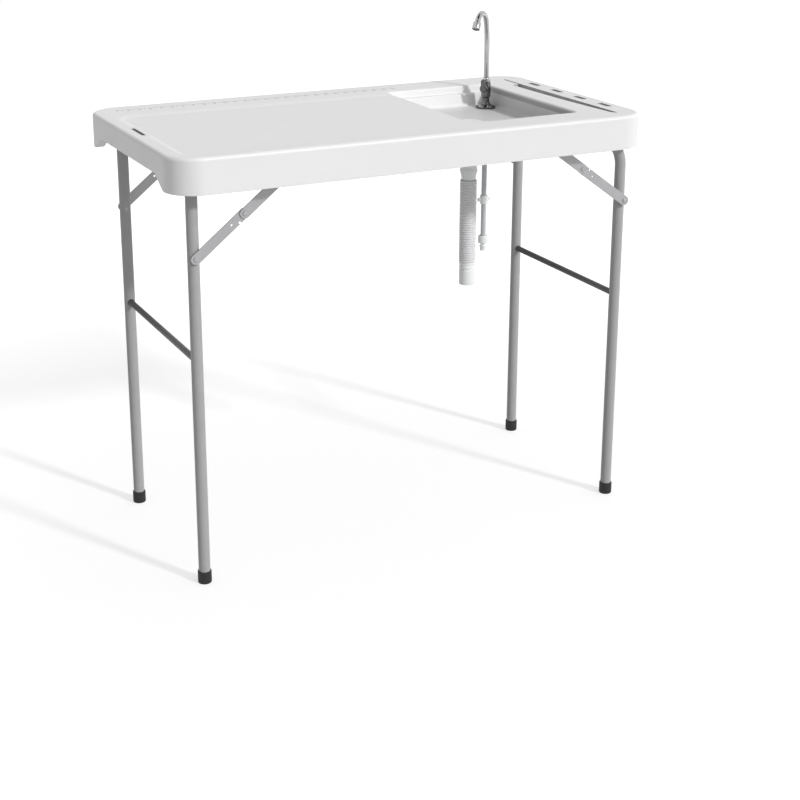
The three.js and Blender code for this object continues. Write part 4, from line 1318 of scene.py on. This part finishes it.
# Floor, world and lamp
studio = {
    "floorReach": 9,
    "floor": 0.5,
    # The floor's glow grows with distance from the table: painted shade around the table and painted
    # light that washes out the far shadows.
    "floorLift": (0.60, 0.80),
    "liftFrom": (0.7, 2.2),
    "ambient": 0.42,
    "ambientSlope": (0.32, -0.10, 0.14),
    "ambientLeast": 0.05,
    "horizon": 0.55,
    "horizonFall": 5,
    "sun": {"way": (-0.45, 0.89, -0.60), "spread": 5, "strength": 1.8},
    "cards": {
        "front_card": ((0.52, -1.9, 0), (0.86, -1.9, 0), (0.86, -1.9, 2.0), (0.52, -1.9, 2.0)),
        "high_card": ((-0.4, -1.3, 3.0), (1.3, -1.3, 3.0), (1.3, 0.5, 3.0), (-0.4, 0.5, 3.0)),
    },
}


# One where a camera, glossy or transmission ray meets the surface
def seenPlainly(tree):
    rays = tree.nodes.new("ShaderNodeLightPath").outputs
    seen = mathNode(tree, "MAXIMUM", rays["Is Camera Ray"], rays["Is Glossy Ray"])
    return mathNode(tree, "MAXIMUM", seen, rays["Is Transmission Ray"])


floorMesh = bpy.data.meshes.new("floor")
reach = studio["floorReach"]
corners = [(-reach, -reach, 0), (reach, -reach, 0), (reach, reach, 0), (-reach, reach, 0)]
floorMesh.from_pydata(corners, [], [(0, 1, 2, 3)])
floor = bpy.data.objects.new("floor", floorMesh)
floor.location.z = -0.0002
scene.collection.objects.link(floor)
floorLook = bpy.data.materials.new("floor")
floorLook.use_nodes = True
tree = floorLook.node_tree
tree.nodes.clear()
matte = node(tree, "ShaderNodeBsdfDiffuse", Color=(studio["floor"],) * 3 + (1,))
glow = node(tree, "ShaderNodeEmission", Color=(1, 1, 1, 1))
where = tree.nodes.new("ShaderNodeTexCoord")
far = tree.nodes.new("ShaderNodeVectorMath")
far.operation = "LENGTH"
# Painted shade near the table and painted light far off: the glow ramps up with distance from the
# table.
near, away = studio["liftFrom"]
least, most = studio["floorLift"]
lift = node(tree, "ShaderNodeMapRange", From_Min=near, From_Max=away, To_Min=least, To_Max=most)
lift.interpolation_type = "SMOOTHSTEP"
both = tree.nodes.new("ShaderNodeAddShader")
output = tree.nodes.new("ShaderNodeOutputMaterial")
tree.links.new(where.outputs["Object"], far.inputs[0])
tree.links.new(far.outputs["Value"], lift.inputs["Value"])
amount = mathNode(tree, "MULTIPLY", lift.outputs["Result"], seenPlainly(tree))
tree.links.new(amount, glow.inputs["Strength"])
tree.links.new(matte.outputs[0], both.inputs[0])
tree.links.new(glow.outputs[0], both.inputs[1])
tree.links.new(both.outputs[0], output.inputs["Surface"])
floorMesh.materials.append(floorLook)

world = bpy.data.worlds.new("studio")
scene.world = world
world.use_nodes = True
tree = world.node_tree
tree.nodes.clear()
way = tree.nodes.new("ShaderNodeTexCoord")
slope = tree.nodes.new("ShaderNodeVectorMath")
slope.operation = "DOT_PRODUCT"
slope.inputs[1].default_value = studio["ambientSlope"]
parts = tree.nodes.new("ShaderNodeSeparateXYZ")
soft = node(tree, "ShaderNodeBackground", Color=(1, 1, 1, 1))
plain = node(tree, "ShaderNodeBackground", Color=(1, 1, 1, 1), Strength=1.0)
mix = tree.nodes.new("ShaderNodeMixShader")
output = tree.nodes.new("ShaderNodeOutputWorld")
tree.links.new(way.outputs["Generated"], slope.inputs[0])
tree.links.new(way.outputs["Generated"], parts.inputs[0])
level = mathNode(tree, "ADD", slope.outputs["Value"], studio["ambient"])
level = mathNode(tree, "MAXIMUM", level, studio["ambientLeast"])
height = mathNode(tree, "ABSOLUTE", parts.outputs["Z"])
band = mathNode(tree, "POWER", mathNode(tree, "SUBTRACT", 1.0, height), studio["horizonFall"])
whole = mathNode(tree, "MULTIPLY_ADD", band, studio["horizon"], level)
tree.links.new(whole, soft.inputs["Strength"])
tree.links.new(seenPlainly(tree), mix.inputs[0])
tree.links.new(soft.outputs[0], mix.inputs[1])
tree.links.new(plain.outputs[0], mix.inputs[2])
tree.links.new(mix.outputs[0], output.inputs["Surface"])

sun = bpy.data.lights.new("key_lamp", "SUN")
sun.angle = math.radians(studio["sun"]["spread"])
sun.energy = studio["sun"]["strength"]
lamp = bpy.data.objects.new("key_lamp", sun)
lamp.rotation_euler = Vector(studio["sun"]["way"]).to_track_quat("-Z", "Y").to_euler()
scene.collection.objects.link(lamp)

# Black cards in front and above, seen only in reflections
cardLook = bpy.data.materials.new("black_card")
cardLook.use_nodes = True
black = cardLook.node_tree.nodes["Principled BSDF"].inputs["Base Color"]
black.default_value = (0.01, 0.01, 0.01, 1)
for name, corners in studio["cards"].items():
    cardMesh = bpy.data.meshes.new(name)
    cardMesh.from_pydata(corners, [], [(0, 1, 2, 3)])
    cardMesh.materials.append(cardLook)
    card = bpy.data.objects.new(name, cardMesh)
    scene.collection.objects.link(card)
    card.visible_camera = card.visible_diffuse = card.visible_shadow = False
scene.view_settings.view_transform = "Standard"
print("light done")
